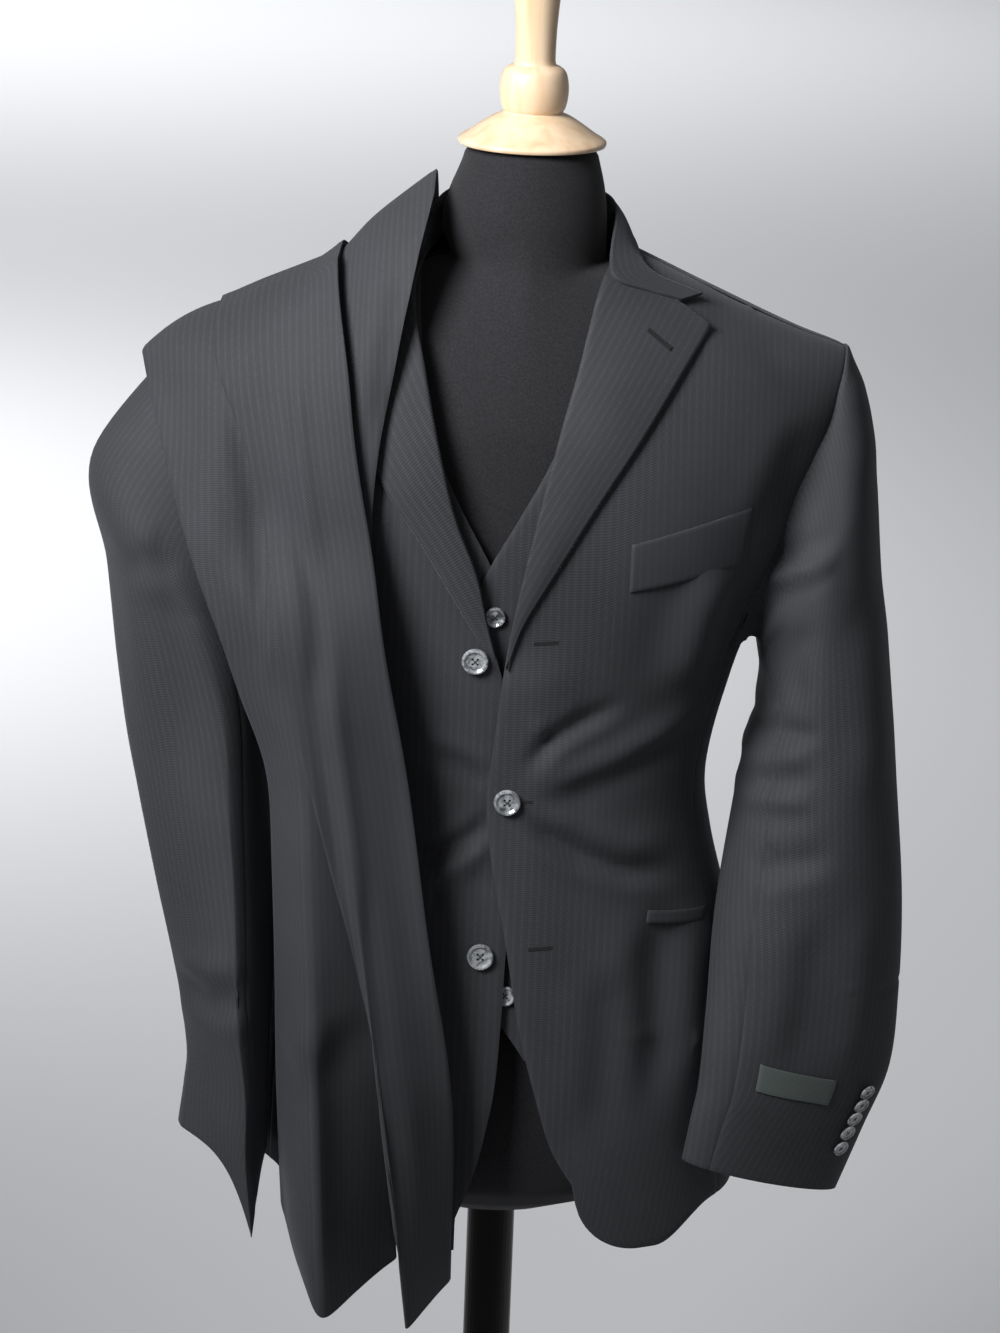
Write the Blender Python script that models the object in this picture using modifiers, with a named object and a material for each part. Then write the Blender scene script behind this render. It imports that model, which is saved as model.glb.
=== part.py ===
"""Three-piece suit on a limbless dress form: jacket, waistcoat, trousers, form and stand.

Metres, +Z up, the suit faces -Y and the wearer's left is +X. Every cloth piece is a grid
laid on the body's skin, a function of angle and height, and thickened with Solidify.
"""
import math

import bmesh
import bpy
from mathutils import Quaternion, Vector

# ---------------------------------------------------------------- driving sizes
CLOTH = 0.0012           # one layer of worsted
FRONT_WALL = 0.0018      # jacket front: worsted and canvas
LAPEL_WALL = 0.0022      # lapel and collar: two layers of worsted
SEAM = 0.0003            # gap between sewn pieces
LAP_LIFT = 0.0042        # the left front rides this far out where it laps the right
WAISTCOAT_IN = 0.0094    # waistcoat's outside lies this far inside the jacket's
FORM_IN = 0.0116         # form's shoulders lie this far inside the jacket's outside
PANEL_SHAPE = 2.4        # exponent of the rounded plan section of the body
SHOULDER_ROUND = 0.17    # height over which chest and back round in to the shoulder

# Jacket body, outside: height, half width, front depth, back depth.
BODY = (
    (0.72, 0.188, 0.128, 0.116),
    (0.84, 0.184, 0.126, 0.116),
    (0.95, 0.177, 0.119, 0.109),
    (1.03, 0.157, 0.113, 0.098),
    (1.08, 0.150, 0.112, 0.094),
    (1.14, 0.160, 0.117, 0.100),
    (1.19, 0.176, 0.123, 0.108),
    (1.25, 0.197, 0.129, 0.118),
    (1.31, 0.222, 0.131, 0.124),
    (1.37, 0.246, 0.126, 0.124),
    (1.43, 0.264, 0.118, 0.116),
    (1.52, 0.266, 0.100, 0.100),
)
# Shoulder line of the jacket: distance from the middle, height.
RIDGE = ((0.00, 1.507), (0.066, 1.481), (0.13, 1.4525), (0.20, 1.4225), (0.2375, 1.4095),
         (0.26, 1.397), (0.30, 1.365))

ARM_LEVEL = 1.19         # bottom of the jacket's armholes
SIDE_FRONT = 66.0        # seam angles round the body, 0 at the front, 90 at the side
SIDE_BACK = 114.0
NECK_POINT = 0.066       # half width of the neck at the shoulder seam
BACK_NECK = 0.030        # how deep the back neckline dips below that
NAPE = 0.064             # depth of the jacket behind the neck
# Jacket armhole: height, distance out.
ARMHOLE = (
    (1.190, 0.163), (1.212, 0.171), (1.250, 0.184), (1.302, 0.203), (1.350, 0.221),
    (1.386, 0.2325), (1.4095, 0.2375),
)
# Front edges and, above the break at 1.18, the roll lines: height, distance to +X.
EDGE_LEFT = (
    (0.753, 0.066), (0.796, 0.044), (0.844, 0.030), (0.90, 0.016), (0.972, 0.003),
    (1.044, -0.011), (1.09, -0.014), (1.147, -0.009), (1.18, -0.006), (1.217, -0.001),
    (1.257, 0.006), (1.302, 0.015), (1.366, 0.029), (1.404, 0.039), (1.442, 0.048),
    (1.464, 0.055), (1.481, 0.066),
)
EDGE_RIGHT = (
    (0.753, -0.028), (0.79, -0.015), (0.821, -0.008), (0.857, -0.002), (0.909, 0.001),
    (0.968, 0.003), (1.03, 0.008), (1.09, 0.012), (1.14, 0.006), (1.18, -0.008),
    (1.223, -0.020), (1.257, -0.028), (1.30, -0.045), (1.344, -0.057), (1.40, -0.070),
    (1.454, -0.081), (1.481, -0.072),
)
HEM = 0.728              # jacket hem at its lowest, in front
HEM_SIDE = {1: 0.754, -1: 0.770}     # and at each side seam
HEM_BACK = 0.756         # and at the centre back seam
HEM_CURVE = 0.050        # radius of the rounded front corner
HEM_CORNER = 0.112       # where that round meets the hem
HEM_RISE = (0.125, 0.045)            # the hem rises to the side from here, over this distance


# ---------------------------------------------------------------- scene and helpers
for leftover in list(bpy.data.objects):
    bpy.data.objects.remove(leftover, do_unlink=True)
suit = bpy.data.collections.new("three_piece_suit")
bpy.context.scene.collection.children.link(suit)


def principled(name, colour, roughness, metallic=0.0):
    material = bpy.data.materials.new(name)
    material.use_nodes = True
    shader = material.node_tree.nodes["Principled BSDF"]
    shader.inputs["Base Color"].default_value = (*colour, 1.0)
    shader.inputs["Roughness"].default_value = roughness
    shader.inputs["Metallic"].default_value = metallic
    material.diffuse_color = (*colour, 1.0)
    return material


MATERIALS = {
    "charcoal worsted": principled("charcoal worsted", (0.035, 0.037, 0.041), 0.75),
    "smoked horn": principled("smoked horn", (0.20, 0.20, 0.21), 0.25),
    "woven label": principled("woven label", (0.075, 0.085, 0.082), 0.8),
    "black jersey": principled("black jersey", (0.012, 0.012, 0.014), 0.9),
    "lacquered wood": principled("lacquered wood", (0.62, 0.44, 0.25), 0.3),
    "black gloss": principled("black gloss", (0.02, 0.013, 0.011), 0.25),
}


def add(name, mesh, material, smooth=True):
    """Link a mesh as one named piece of the suit."""
    mesh.materials.append(MATERIALS[material])
    if smooth:
        mesh.shade_smooth()
        mesh.set_sharp_from_angle(angle=math.radians(40))
    piece = bpy.data.objects.new(name, mesh)
    suit.objects.link(piece)
    return piece


def lerp(a, b, t):
    return a + (b - a) * t


def ease(t):
    t = min(1.0, max(0.0, t))
    return t * t * (3.0 - 2.0 * t)


def table(rows, at, column):
    """Smooth value of one column of a table whose first column is increasing."""
    if at <= rows[0][0]:
        return rows[0][column]
    if at >= rows[-1][0]:
        return rows[-1][column]
    i = next(k for k in range(len(rows) - 1) if at <= rows[k + 1][0])
    low, high = rows[i], rows[i + 1]
    gap = high[0] - low[0]
    t = (at - low[0]) / gap
    slope_low = slope_high = (high[column] - low[column]) / gap
    if i > 0:
        slope_low = (high[column] - rows[i - 1][column]) / (high[0] - rows[i - 1][0])
    if i + 2 < len(rows):
        slope_high = (rows[i + 2][column] - low[column]) / (rows[i + 2][0] - low[0])
    return ((2 * t ** 3 - 3 * t ** 2 + 1) * low[column] + (t ** 3 - 2 * t ** 2 + t) * gap * slope_low
            + (3 * t ** 2 - 2 * t ** 3) * high[column] + (t ** 3 - t ** 2) * gap * slope_high)


def ridge(x, off=0.0):
    return table(RIDGE, abs(x), 1) + off


def shoulder_round(drop):
    """How full the chest or back is, this far below the shoulder line."""
    s = min(1.0, max(0.0, drop / SHOULDER_ROUND))
    return (1.0 - (1.0 - s) ** PANEL_SHAPE) ** (1.0 / PANEL_SHAPE)


def skin(angle, z, off=0.0):
    """Point on the body: angle in degrees from the front, height, distance outside it."""
    half = table(BODY, z, 1) + off
    turn = math.radians(angle)
    x = half * math.copysign(abs(math.sin(turn)) ** (2 / PANEL_SHAPE), math.sin(turn))
    return Vector((x, face(x, z, off, back=math.cos(turn) < 0), z))


def trunk(x, z, off=0.0, back=False):
    """Depth of the front, or of the back, at a place on the trunk."""
    half = table(BODY, z, 1) + off
    depth = table(BODY, z, 3 if back else 2) + off
    across = max(0.0, 1.0 - abs(x / half) ** PANEL_SHAPE) ** (1 / PANEL_SHAPE)
    y = depth * across * shoulder_round(ridge(x, off) - z)
    return y if back else -y


def face(x, z, off=0.0, back=False):
    """The same, with the cloth carried round the back of the neck."""
    y = trunk(x, z, off, back)
    if not back:
        return y
    nape = (NAPE + off) * math.sqrt(max(0.0, 1.0 - (x / (NECK_POINT + off)) ** 2))
    return max(y, nape * ease((z - 1.42) / 0.05))


def angle_of(x, z, off=0.0):
    """Angle from the middle at which the body's front has this distance to +X."""
    half = table(BODY, z, 1) + off
    return math.degrees(math.copysign(math.asin(min(1.0, abs(x / half)) ** (PANEL_SHAPE / 2)), x))


def sheet(name, across, along, place, wall, material="charcoal worsted"):
    """A grid laid by place(u, v), outside first, thickened inwards by the wall."""
    grid = bmesh.new()
    bmesh.ops.create_grid(grid, x_segments=across, y_segments=along, size=1.0)
    for vert in grid.verts:
        vert.co = place((vert.co.x + 1) / 2, (vert.co.y + 1) / 2)
    mesh = bpy.data.meshes.new(name)
    grid.to_mesh(mesh)
    grid.free()
    piece = add(name, mesh, material)
    solidify = piece.modifiers.new("wall", "SOLIDIFY")
    solidify.thickness = wall
    solidify.offset = -1.0
    return piece


def turned(name, profile, material, sides=32):
    """A turned solid: radius and height pairs, run from the top of the axis down."""
    mesh = bpy.data.meshes.new(name)
    points = [(radius, 0.0, height) for radius, height in profile]
    mesh.from_pydata(points, [(i, i + 1) for i in range(len(points) - 1)], [])
    piece = add(name, mesh, material, smooth=False)
    screw = piece.modifiers.new("turn", "SCREW")
    screw.steps = screw.render_steps = sides
    screw.use_merge_vertices = True
    screw.merge_threshold = 0.00005
    screw.use_smooth_shade = True
    return piece


# ---------------------------------------------------------------- jacket body
LOWER_ROWS = 9           # rows of the panels below the armhole, then above it
UPPER_ROWS = 8
SEAM_ANGLE = 0.14        # half a seam's gap, in degrees round the body


def hem_height(x, side):
    """Height of the front's hem: its rounded open corner, then up to the side seam."""
    corner = HEM_CORNER if side > 0 else HEM_CORNER - 0.094
    inside = min(HEM_CURVE, max(0.0, corner - x * side))
    start, length = HEM_RISE
    rise = (HEM_SIDE[side] - HEM) * ease((x * side - start) / length)
    return HEM + HEM_CURVE - math.sqrt(HEM_CURVE ** 2 - inside ** 2) + rise


def edge_x(z, side):
    return table(EDGE_LEFT if side > 0 else EDGE_RIGHT, z, 1)


def lap(x, z):
    """How far the left front is lifted off the right one that it laps."""
    return LAP_LIFT * ease((0.060 - x) / 0.045) * ease((1.205 - z) / 0.035)


def armhole(rise):
    """Armhole place at this share of the way up, rows closing up at the shoulder."""
    top = ARMHOLE[-1][0]
    z = top - (top - ARM_LEVEL) * (1.0 - rise) ** 2
    return table(ARMHOLE, z, 1), z


def front_place(side):
    side_angle = side * (SIDE_FRONT - SEAM_ANGLE)
    bottom = hem_height(edge_x(0.753, side), side)
    share = LOWER_ROWS / (LOWER_ROWS + UPPER_ROWS)

    def place(u, v):
        if side < 0:
            u = 1.0 - u
        if v <= share:
            rise = v / share
            edge_z = lerp(bottom, ARM_LEVEL, rise)
            side_z = lerp(HEM_SIDE[side], ARM_LEVEL, rise)
            angle = lerp(angle_of(edge_x(edge_z, side), edge_z), side_angle, u)
            z = lerp(edge_z, side_z, u)
            wanted = hem_height(skin(angle, z).x, side)
            z += (wanted - lerp(bottom, HEM_SIDE[side], u)) * (1.0 - rise) ** 3
            point = skin(angle, z)
        else:
            rise = (v - share) / (1.0 - share)
            edge_z = ridge(NECK_POINT) - (ridge(NECK_POINT) - ARM_LEVEL) * (1.0 - rise) ** 2
            edge = edge_x(edge_z, side)
            out, side_z = armhole(rise)
            out = side * (out - SEAM)
            start, end = angle_of(edge, edge_z), angle_of(out, side_z)
            drop = lerp(ridge(edge) - edge_z, ridge(out) - side_z, u)
            angle, z = lerp(start, end, u), lerp(edge_z, side_z, u)
            level = z
            for _ in range(4):
                z = lerp(level, ridge(skin(angle, z).x) - drop, ease(rise * 2))
            x = skin(angle, z).x
            point = Vector((x, face(x, z), z))
        if side > 0:
            point.y = face(point.x, point.z, lap(point.x, point.z))
        if point.z > ARM_LEVEL and abs(point.y) < 0.004:
            point.y = min(point.y, -SEAM)
        return point

    return place


def back_place(side):
    side_angle = SIDE_BACK + SEAM_ANGLE
    middle_angle = 180.0 - SEAM_ANGLE
    share = LOWER_ROWS / (LOWER_ROWS + UPPER_ROWS)

    def place(u, v):
        if side < 0:
            u = 1.0 - u
        if v <= share:
            z = lerp(lerp(HEM_SIDE[side], HEM_BACK, u), ARM_LEVEL, v / share)
            point = skin(lerp(side_angle, middle_angle, u), z)
        else:
            rise = (v - share) / (1.0 - share)
            out, side_z = armhole(rise)
            half = table(BODY, side_z, 1)
            start = 180.0 - math.degrees(math.asin(((out - SEAM) / half) ** (PANEL_SHAPE / 2)))
            angle = math.radians(lerp(start, middle_angle, u))
            low = half * math.sin(angle) ** (2 / PANEL_SHAPE)
            neck_u = 2.0 / 3.0
            if u < neck_u:
                top = lerp(out - SEAM, NECK_POINT, u / neck_u)
            else:
                top = lerp(NECK_POINT, 0.0006, (u - neck_u) / (1.0 - neck_u))
            x = lerp(low, top, ease(rise * 1.4))
            centre_z = lerp(ridge(0.0) - BACK_NECK, ARM_LEVEL, (1.0 - rise) ** 2)
            drop = lerp(ridge(out) - side_z, (ridge(0.0) - BACK_NECK) - centre_z, u)
            scoop = BACK_NECK * (1.0 - min(1.0, x / NECK_POINT) ** 2)
            z = lerp(lerp(side_z, centre_z, u), ridge(x) - scoop - drop, ease(rise * 2))
            point = Vector((x, face(x, z, back=True), z))
        point.y = max(point.y, SEAM) if point.z > ARM_LEVEL else point.y
        point.x *= side
        return point

    return place


def side_place(side):
    def place(u, v):
        if side < 0:
            u = 1.0 - u
        angle = lerp(SIDE_FRONT + SEAM_ANGLE, SIDE_BACK - SEAM_ANGLE, u)
        point = skin(angle, lerp(HEM_SIDE[side], ARM_LEVEL, v))
        point.x *= side
        return point

    return place


for side, word in ((1, "left"), (-1, "right")):
    rows = LOWER_ROWS + UPPER_ROWS
    sheet("jacket_front_" + word, 8, rows, front_place(side), FRONT_WALL)
    sheet("jacket_side_" + word, 4, LOWER_ROWS, side_place(side), CLOTH)
    sheet("jacket_back_" + word, 6, rows, back_place(side), CLOTH)


# ---------------------------------------------------------------- lapels and collar
# Lapel outer edges from the break up to the tip: way up, distance to +X, height.
LAPEL_LEFT = (
    (0.00, -0.002, 1.196), (0.10, 0.007, 1.222), (0.25, 0.027, 1.259), (0.45, 0.056, 1.311),
    (0.65, 0.087, 1.361), (0.85, 0.116, 1.408), (1.00, 0.134, 1.434),
)
LAPEL_RIGHT = (
    (0.00, -0.022, 1.204), (0.15, -0.036, 1.226), (0.35, -0.066, 1.275), (0.55, -0.095, 1.317),
    (0.75, -0.121, 1.362), (1.00, -0.147, 1.424),
)
LAPEL_OFF = 0.0037       # lapel's outside over the front's, at its edges
LAPEL_ROLL = 0.0017      # and how much further it stands out in the middle
GORGE_END = 5.0 / 7.0    # how far out along the lapel's top the collar reaches
GORGE_RISE = 0.0065      # how far that point lies above the straight line to the tip


def lapel_place(side):
    rows = LAPEL_LEFT if side > 0 else LAPEL_RIGHT

    def place(u, v):
        if side < 0:
            u = 1.0 - u
        roll_z = lerp(1.188 if side > 0 else 1.196, 1.464, v)
        x = lerp(edge_x(roll_z, side), table(rows, v, 1), u)
        bend = u / GORGE_END if u < GORGE_END else (1.0 - u) / (1.0 - GORGE_END)
        z = lerp(roll_z, table(rows, v, 2), u) + GORGE_RISE * bend * v ** 4
        full = ease(v * 3) * (1.0 - 0.6 * ease((v - 0.75) * 4))
        off = LAPEL_OFF + LAPEL_ROLL * math.sin(math.pi * u) * full
        if side > 0:
            off += lap(x, z)
        return Vector((x, face(x, z, off), z))

    return place


for side, word in ((1, "left"), (-1, "right")):
    sheet("lapel_" + word, 7, 10, lapel_place(side), LAPEL_WALL)

# Collar leaf from the left notch round the back of the neck: way along, then x, y and
# height of its fold side and of its outer edge. Its front ends lie on the jacket front.
COLLAR = (
    (0.00, 0.1115, -0.070, 1.4493, 0.1265, -0.055, 1.4510),
    (0.10, 0.0860, -0.065, 1.4567, 0.1100, -0.045, 1.4576),
    (0.18, 0.0610, -0.060, 1.4655, 0.0930, -0.036, 1.4645),
    (0.27, 0.0605, -0.035, 1.4870, 0.0815, -0.026, 1.4730),
    (0.36, 0.0630, 0.000, 1.5030, 0.0760, 0.014, 1.4805),
    (0.43, 0.0520, 0.042, 1.5100, 0.0690, 0.059, 1.4735),
    (0.50, 0.0000, 0.068, 1.5130, 0.0000, 0.091, 1.4740),
    (0.57, -0.0520, 0.042, 1.5100, -0.0690, 0.059, 1.4735),
    (0.64, -0.0680, 0.000, 1.5030, -0.0830, 0.014, 1.4800),
    (0.73, -0.0770, -0.035, 1.4880, -0.0950, -0.026, 1.4725),
    (0.82, -0.0840, -0.060, 1.4655, -0.1080, -0.036, 1.4600),
    (0.90, -0.1050, -0.065, 1.4555, -0.1250, -0.045, 1.4525),
    (1.00, -0.1290, -0.070, 1.4443, -0.1420, -0.055, 1.4450),
)
COLLAR_OFF = LAPEL_OFF - 0.0003


def collar_place(u, v):
    fold = Vector([table(COLLAR, v, column) for column in (1, 2, 3)])
    edge = Vector([table(COLLAR, v, column) for column in (4, 5, 6)])
    point = fold.lerp(edge, u)
    end = ease((0.30 - min(v, 1.0 - v)) / 0.10)
    point.z += 0.004 * math.sin(math.pi * u) * (1.0 - end)
    rest = face(point.x, point.z, COLLAR_OFF)
    point.y = lerp(point.y, rest, end)
    return point


def stand_place(u, v):
    """The collar's stand, from the back neckline seam up to just under the fold."""
    way = lerp(0.375, 0.625, u)
    fold = Vector([table(COLLAR, way, column) for column in (1, 2, 3)])
    fold += Vector((-fold.x * 0.02, -0.0010, -0.0040))
    x = NECK_POINT * 0.95 * (1.0 - 2.0 * u)
    z = ridge(x) - BACK_NECK * (1.0 - (x / NECK_POINT) ** 2)
    seam = Vector((x, face(x, z, back=True), z + 0.0009))
    return seam.lerp(fold, v)


sheet("collar", 3, 24, lambda u, v: collar_place(1.0 - u, v), LAPEL_WALL)
sheet("collar_stand", 12, 1, lambda u, v: stand_place(1.0 - u, v), CLOTH)


# ---------------------------------------------------------------- sleeves
# Sleeve rings from the cap down to the cuff: way down, then the outer point and the inner
# point (x, y, height each), how far the ring stands forward and back of the line between
# them, how pointed it is (1 round, 2 a flat crease) and how far its front edge drops.
SLEEVE_LEFT = (
    (0.00, 0.247, 0.000, 1.403, 0.180, 0.000, 1.190, 0.070, 0.070, 1.0, 0.0),
    (0.06, 0.258, 0.000, 1.362, 0.184, 0.000, 1.185, 0.082, 0.082, 1.0, 0.0),
    (0.13, 0.266, 0.000, 1.315, 0.187, 0.000, 1.176, 0.088, 0.088, 1.0, 0.0),
    (0.22, 0.274, 0.000, 1.240, 0.188, -0.002, 1.156, 0.088, 0.086, 1.0, 0.0),
    (0.34, 0.285, -0.004, 1.150, 0.182, -0.014, 1.115, 0.082, 0.076, 1.0, 0.0),
    (0.46, 0.294, -0.014, 1.068, 0.171, -0.038, 1.052, 0.070, 0.060, 1.0, 0.0),
    (0.58, 0.301, -0.025, 0.992, 0.161, -0.068, 0.985, 0.055, 0.045, 1.0, 0.0),
    (0.70, 0.303, -0.030, 0.920, 0.157, -0.092, 0.920, 0.042, 0.032, 1.0, 0.0),
    (0.82, 0.300, -0.036, 0.858, 0.153, -0.106, 0.862, 0.033, 0.025, 1.0, 0.0),
    (0.92, 0.282, -0.046, 0.809, 0.148, -0.110, 0.834, 0.028, 0.021, 1.0, 0.0),
    (1.00, 0.264, -0.055, 0.762, 0.143, -0.110, 0.802, 0.025, 0.018, 1.0, 0.0),
)
SLEEVE_RIGHT = (
    (0.00, -0.252, 0.000, 1.390, -0.180, 0.000, 1.190, 0.066, 0.066, 1.0, 0.0),
    (0.06, -0.284, -0.004, 1.362, -0.184, 0.004, 1.185, 0.070, 0.066, 1.0, 0.0),
    (0.13, -0.320, -0.010, 1.302, -0.187, 0.006, 1.176, 0.074, 0.068, 1.0, 0.0),
    (0.22, -0.306, -0.020, 1.226, -0.188, 0.010, 1.156, 0.078, 0.070, 1.1, 0.0),
    (0.34, -0.293, -0.032, 1.140, -0.186, 0.008, 1.115, 0.080, 0.066, 1.3, 0.0),
    (0.46, -0.278, -0.042, 1.060, -0.180, -0.010, 1.052, 0.077, 0.060, 1.4, 0.0),
    (0.58, -0.262, -0.054, 0.988, -0.175, -0.030, 0.985, 0.075, 0.055, 1.5, 0.004),
    (0.70, -0.245, -0.070, 0.920, -0.173, -0.055, 0.925, 0.072, 0.050, 1.5, 0.010),
    (0.82, -0.235, -0.078, 0.862, -0.174, -0.062, 0.868, 0.070, 0.047, 1.5, 0.018),
    (0.92, -0.236, -0.083, 0.834, -0.174, -0.065, 0.826, 0.070, 0.046, 1.6, 0.034),
    (1.00, -0.238, -0.092, 0.806, -0.174, -0.067, 0.785, 0.073, 0.044, 1.8, 0.054),
)
UNDERARM = 150.0         # ring angle, 0 at the outside, where the armhole leaves the front
FRONT_SEAM = {"left": 141.0, "right": 112.0}
BACK_SEAM = -76.0
CUFF_DROP = {1: 2, -1: 4}    # how sharply each cuff's front hangs down at its fold
SLEEVE_CLEAR = 0.0009    # sleeve's first ring lies this far outside the armhole


def armhole_ring(turn, side):
    """The sleeve's seam line: front and back armhole, and the top of the side panel."""
    turn = (turn + 180.0) % 360.0 - 180.0
    if abs(turn) <= UNDERARM:
        out, z = armhole(1.0 - abs(turn) / UNDERARM)
        y = face(out, z, back=turn < 0)
        return Vector((side * (out + SLEEVE_CLEAR), y, z + SLEEVE_CLEAR * 0.5))
    share = (180.0 - abs(turn)) / (180.0 - UNDERARM)
    angle = lerp(90.0, SIDE_FRONT if turn > 0 else SIDE_BACK, share)
    point = skin(angle, ARM_LEVEL, SLEEVE_CLEAR)
    return Vector((side * point.x, point.y, ARM_LEVEL + SLEEVE_CLEAR * 0.5))


def sleeve_ring(rows, way, turn, side):
    """Point of the ring at this way down the sleeve, 0 outside, 90 front, 180 inside."""
    outer = Vector([table(rows, way, column) for column in (1, 2, 3)])
    inner = Vector([table(rows, way, column) for column in (4, 5, 6)])
    fore, aft, crease, drop = (table(rows, way, column) for column in (7, 8, 9, 10))
    chord = outer - inner
    front = Vector((chord.y, -chord.x, 0.0)) * side
    front.normalize()
    angle = math.radians(turn)
    crease = crease if math.sin(angle) > 0 else 1.0
    reach = math.copysign(abs(math.sin(angle)) ** crease, math.sin(angle))
    swing = math.copysign(abs(math.cos(angle)) ** crease, math.cos(angle))
    point = (outer + inner) / 2 + chord / 2 * swing
    point += front * (fore if reach > 0 else aft) * reach
    point.z -= drop * max(0.0, reach) ** CUFF_DROP[side]
    return point


def sleeve_place(rows, side, start, end):
    def place(u, v):
        turn = lerp(start, end, u) if side < 0 else lerp(end, start, u)
        way = 1.0 - v
        ring = sleeve_ring(rows, max(0.0, (way - 0.05) / 0.95), turn, side)
        seam = armhole_ring(turn, side)
        return seam.lerp(ring, ease(way / 0.16))

    return place


SLEEVE_SEAM = 0.90       # half a sleeve seam's gap, in degrees round the ring
for side, word, rows in ((1, "left", SLEEVE_LEFT), (-1, "right", SLEEVE_RIGHT)):
    front, back = FRONT_SEAM[word], BACK_SEAM
    sheet("sleeve_top_" + word, 10, 14,
          sleeve_place(rows, side, back + SLEEVE_SEAM, front - SLEEVE_SEAM), CLOTH)
    sheet("sleeve_under_" + word, 6, 14,
          sleeve_place(rows, side, front + SLEEVE_SEAM, 360.0 + back - SLEEVE_SEAM), CLOTH)


# ---------------------------------------------------------------- waistcoat
WAISTCOAT_ARM = 1.165    # bottom of its armholes
WAISTCOAT_STRAP = (0.080, 0.166)     # its shoulder seam, from and to this distance out
WAISTCOAT_ARMHOLE = (
    (1.165, 0.165), (1.20, 0.160), (1.25, 0.152), (1.32, 0.148), (1.38, 0.154), (1.4385, 0.166),
)
# Front edges and, above the fifth button, the V: height, distance to +X.
WAISTCOAT_LEFT = (
    (0.880, 0.020), (0.93, -0.009), (1.10, -0.018), (1.235, -0.028), (1.259, -0.020),
    (1.291, -0.003), (1.335, 0.020), (1.40, 0.048), (1.480, 0.080),
)
WAISTCOAT_RIGHT = (
    (0.880, -0.012), (0.93, 0.012), (1.10, 0.002), (1.235, -0.008), (1.259, -0.017),
    (1.274, -0.025), (1.309, -0.044), (1.341, -0.058), (1.40, -0.072), (1.480, -0.080),
)
WAISTCOAT_SIDE_HEM = 0.930
WAISTCOAT_POINT = 0.880
WAISTCOAT_NECK = 0.034   # how deep its back neckline dips
WAISTCOAT_LAP = 0.0030


def waistcoat_edge(z, side):
    return table(WAISTCOAT_LEFT if side > 0 else WAISTCOAT_RIGHT, z, 1)


def waistcoat_arm(rise):
    top = ridge(WAISTCOAT_STRAP[1], -WAISTCOAT_IN)
    z = top - (top - WAISTCOAT_ARM) * (1.0 - rise) ** 2
    return table(WAISTCOAT_ARMHOLE, z, 1), z


def strap_point(x_edge, z_edge, x_side, z_side, u, rise, back):
    """Point of a row that closes up on the shoulder line as the rise reaches one."""
    off = -WAISTCOAT_IN
    x = lerp(x_edge, x_side, u)
    drop = lerp(ridge(x_edge, off) - z_edge, ridge(x_side, off) - z_side, u)
    z = lerp(lerp(z_edge, z_side, u), ridge(x, off) - drop, ease(rise * 2))
    return Vector((x, face(x, z, off, back), z))


def waistcoat_front_place(side):
    def place(u, v):
        if side < 0:
            u = 1.0 - u
        off = -WAISTCOAT_IN
        share = 0.5
        if v <= share:
            rise = v / share
            edge_z = lerp(WAISTCOAT_POINT, WAISTCOAT_ARM, rise)
            side_z = lerp(WAISTCOAT_SIDE_HEM, WAISTCOAT_ARM, rise)
            edge = waistcoat_edge(edge_z, side)
            angle = lerp(angle_of(edge, edge_z, off), side * (90.0 - SEAM_ANGLE), u)
            z = lerp(edge_z, side_z, ease(u * 1.6) * 0.35 + u * 0.65)
            point = skin(angle, z, off)
        else:
            rise = (v - share) / (1.0 - share)
            top = ridge(WAISTCOAT_STRAP[0], off)
            edge_z = top - (top - WAISTCOAT_ARM) * (1.0 - rise) ** 2
            edge = waistcoat_edge(edge_z, side)
            out, side_z = waistcoat_arm(rise)
            if rise < 0.12:
                half = table(BODY, side_z, 1) + off
                out = lerp(half * math.sin(math.radians(90.0 - SEAM_ANGLE)), out, rise / 0.12)
            point = strap_point(edge, edge_z, side * out, side_z, u, rise, False)
            point.y = min(point.y, -SEAM)
        if side > 0:
            lift = WAISTCOAT_LAP * ease((0.080 - point.x) / 0.03)
            point.y -= lift
        return point

    return place


def waistcoat_back_place(u, v):
    """One back piece from side seam to side seam, cut out round the neck and arms."""
    off = -WAISTCOAT_IN
    across = 2.0 * u - 1.0
    side = -1.0 if across > 0 else 1.0
    share = 0.5
    if v <= share:
        z = lerp(WAISTCOAT_SIDE_HEM, WAISTCOAT_ARM, v / share)
        return skin(lerp(90.0 + SEAM_ANGLE, 270.0 - SEAM_ANGLE, u), z, off)
    rise = (v - share) / (1.0 - share)
    out, side_z = waistcoat_arm(rise)
    half = table(BODY, side_z, 1) + off
    out = lerp(half, out, ease(rise / 0.12)) if rise < 0.12 else out
    neck, neck_u = WAISTCOAT_STRAP[0], 0.4
    if abs(across) < neck_u:
        top = neck * abs(across) / neck_u
    else:
        top = lerp(neck, out, (abs(across) - neck_u) / (1.0 - neck_u))
    x = lerp(out * abs(across), top, ease(rise * 1.4))
    scoop = WAISTCOAT_NECK * (1.0 - min(1.0, x / neck) ** 2)
    drop = lerp(scoop, ridge(x, off) - WAISTCOAT_ARM, (1.0 - rise) ** 2)
    z = ridge(x, off) - drop
    y = max(face(x, z, off, back=True), SEAM)
    return Vector((side * x, y, z))


for side, word in ((1, "left"), (-1, "right")):
    sheet("waistcoat_front_" + word, 6, 12, waistcoat_front_place(side), CLOTH)
sheet("waistcoat_back", 10, 12, waistcoat_back_place, CLOTH)


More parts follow.
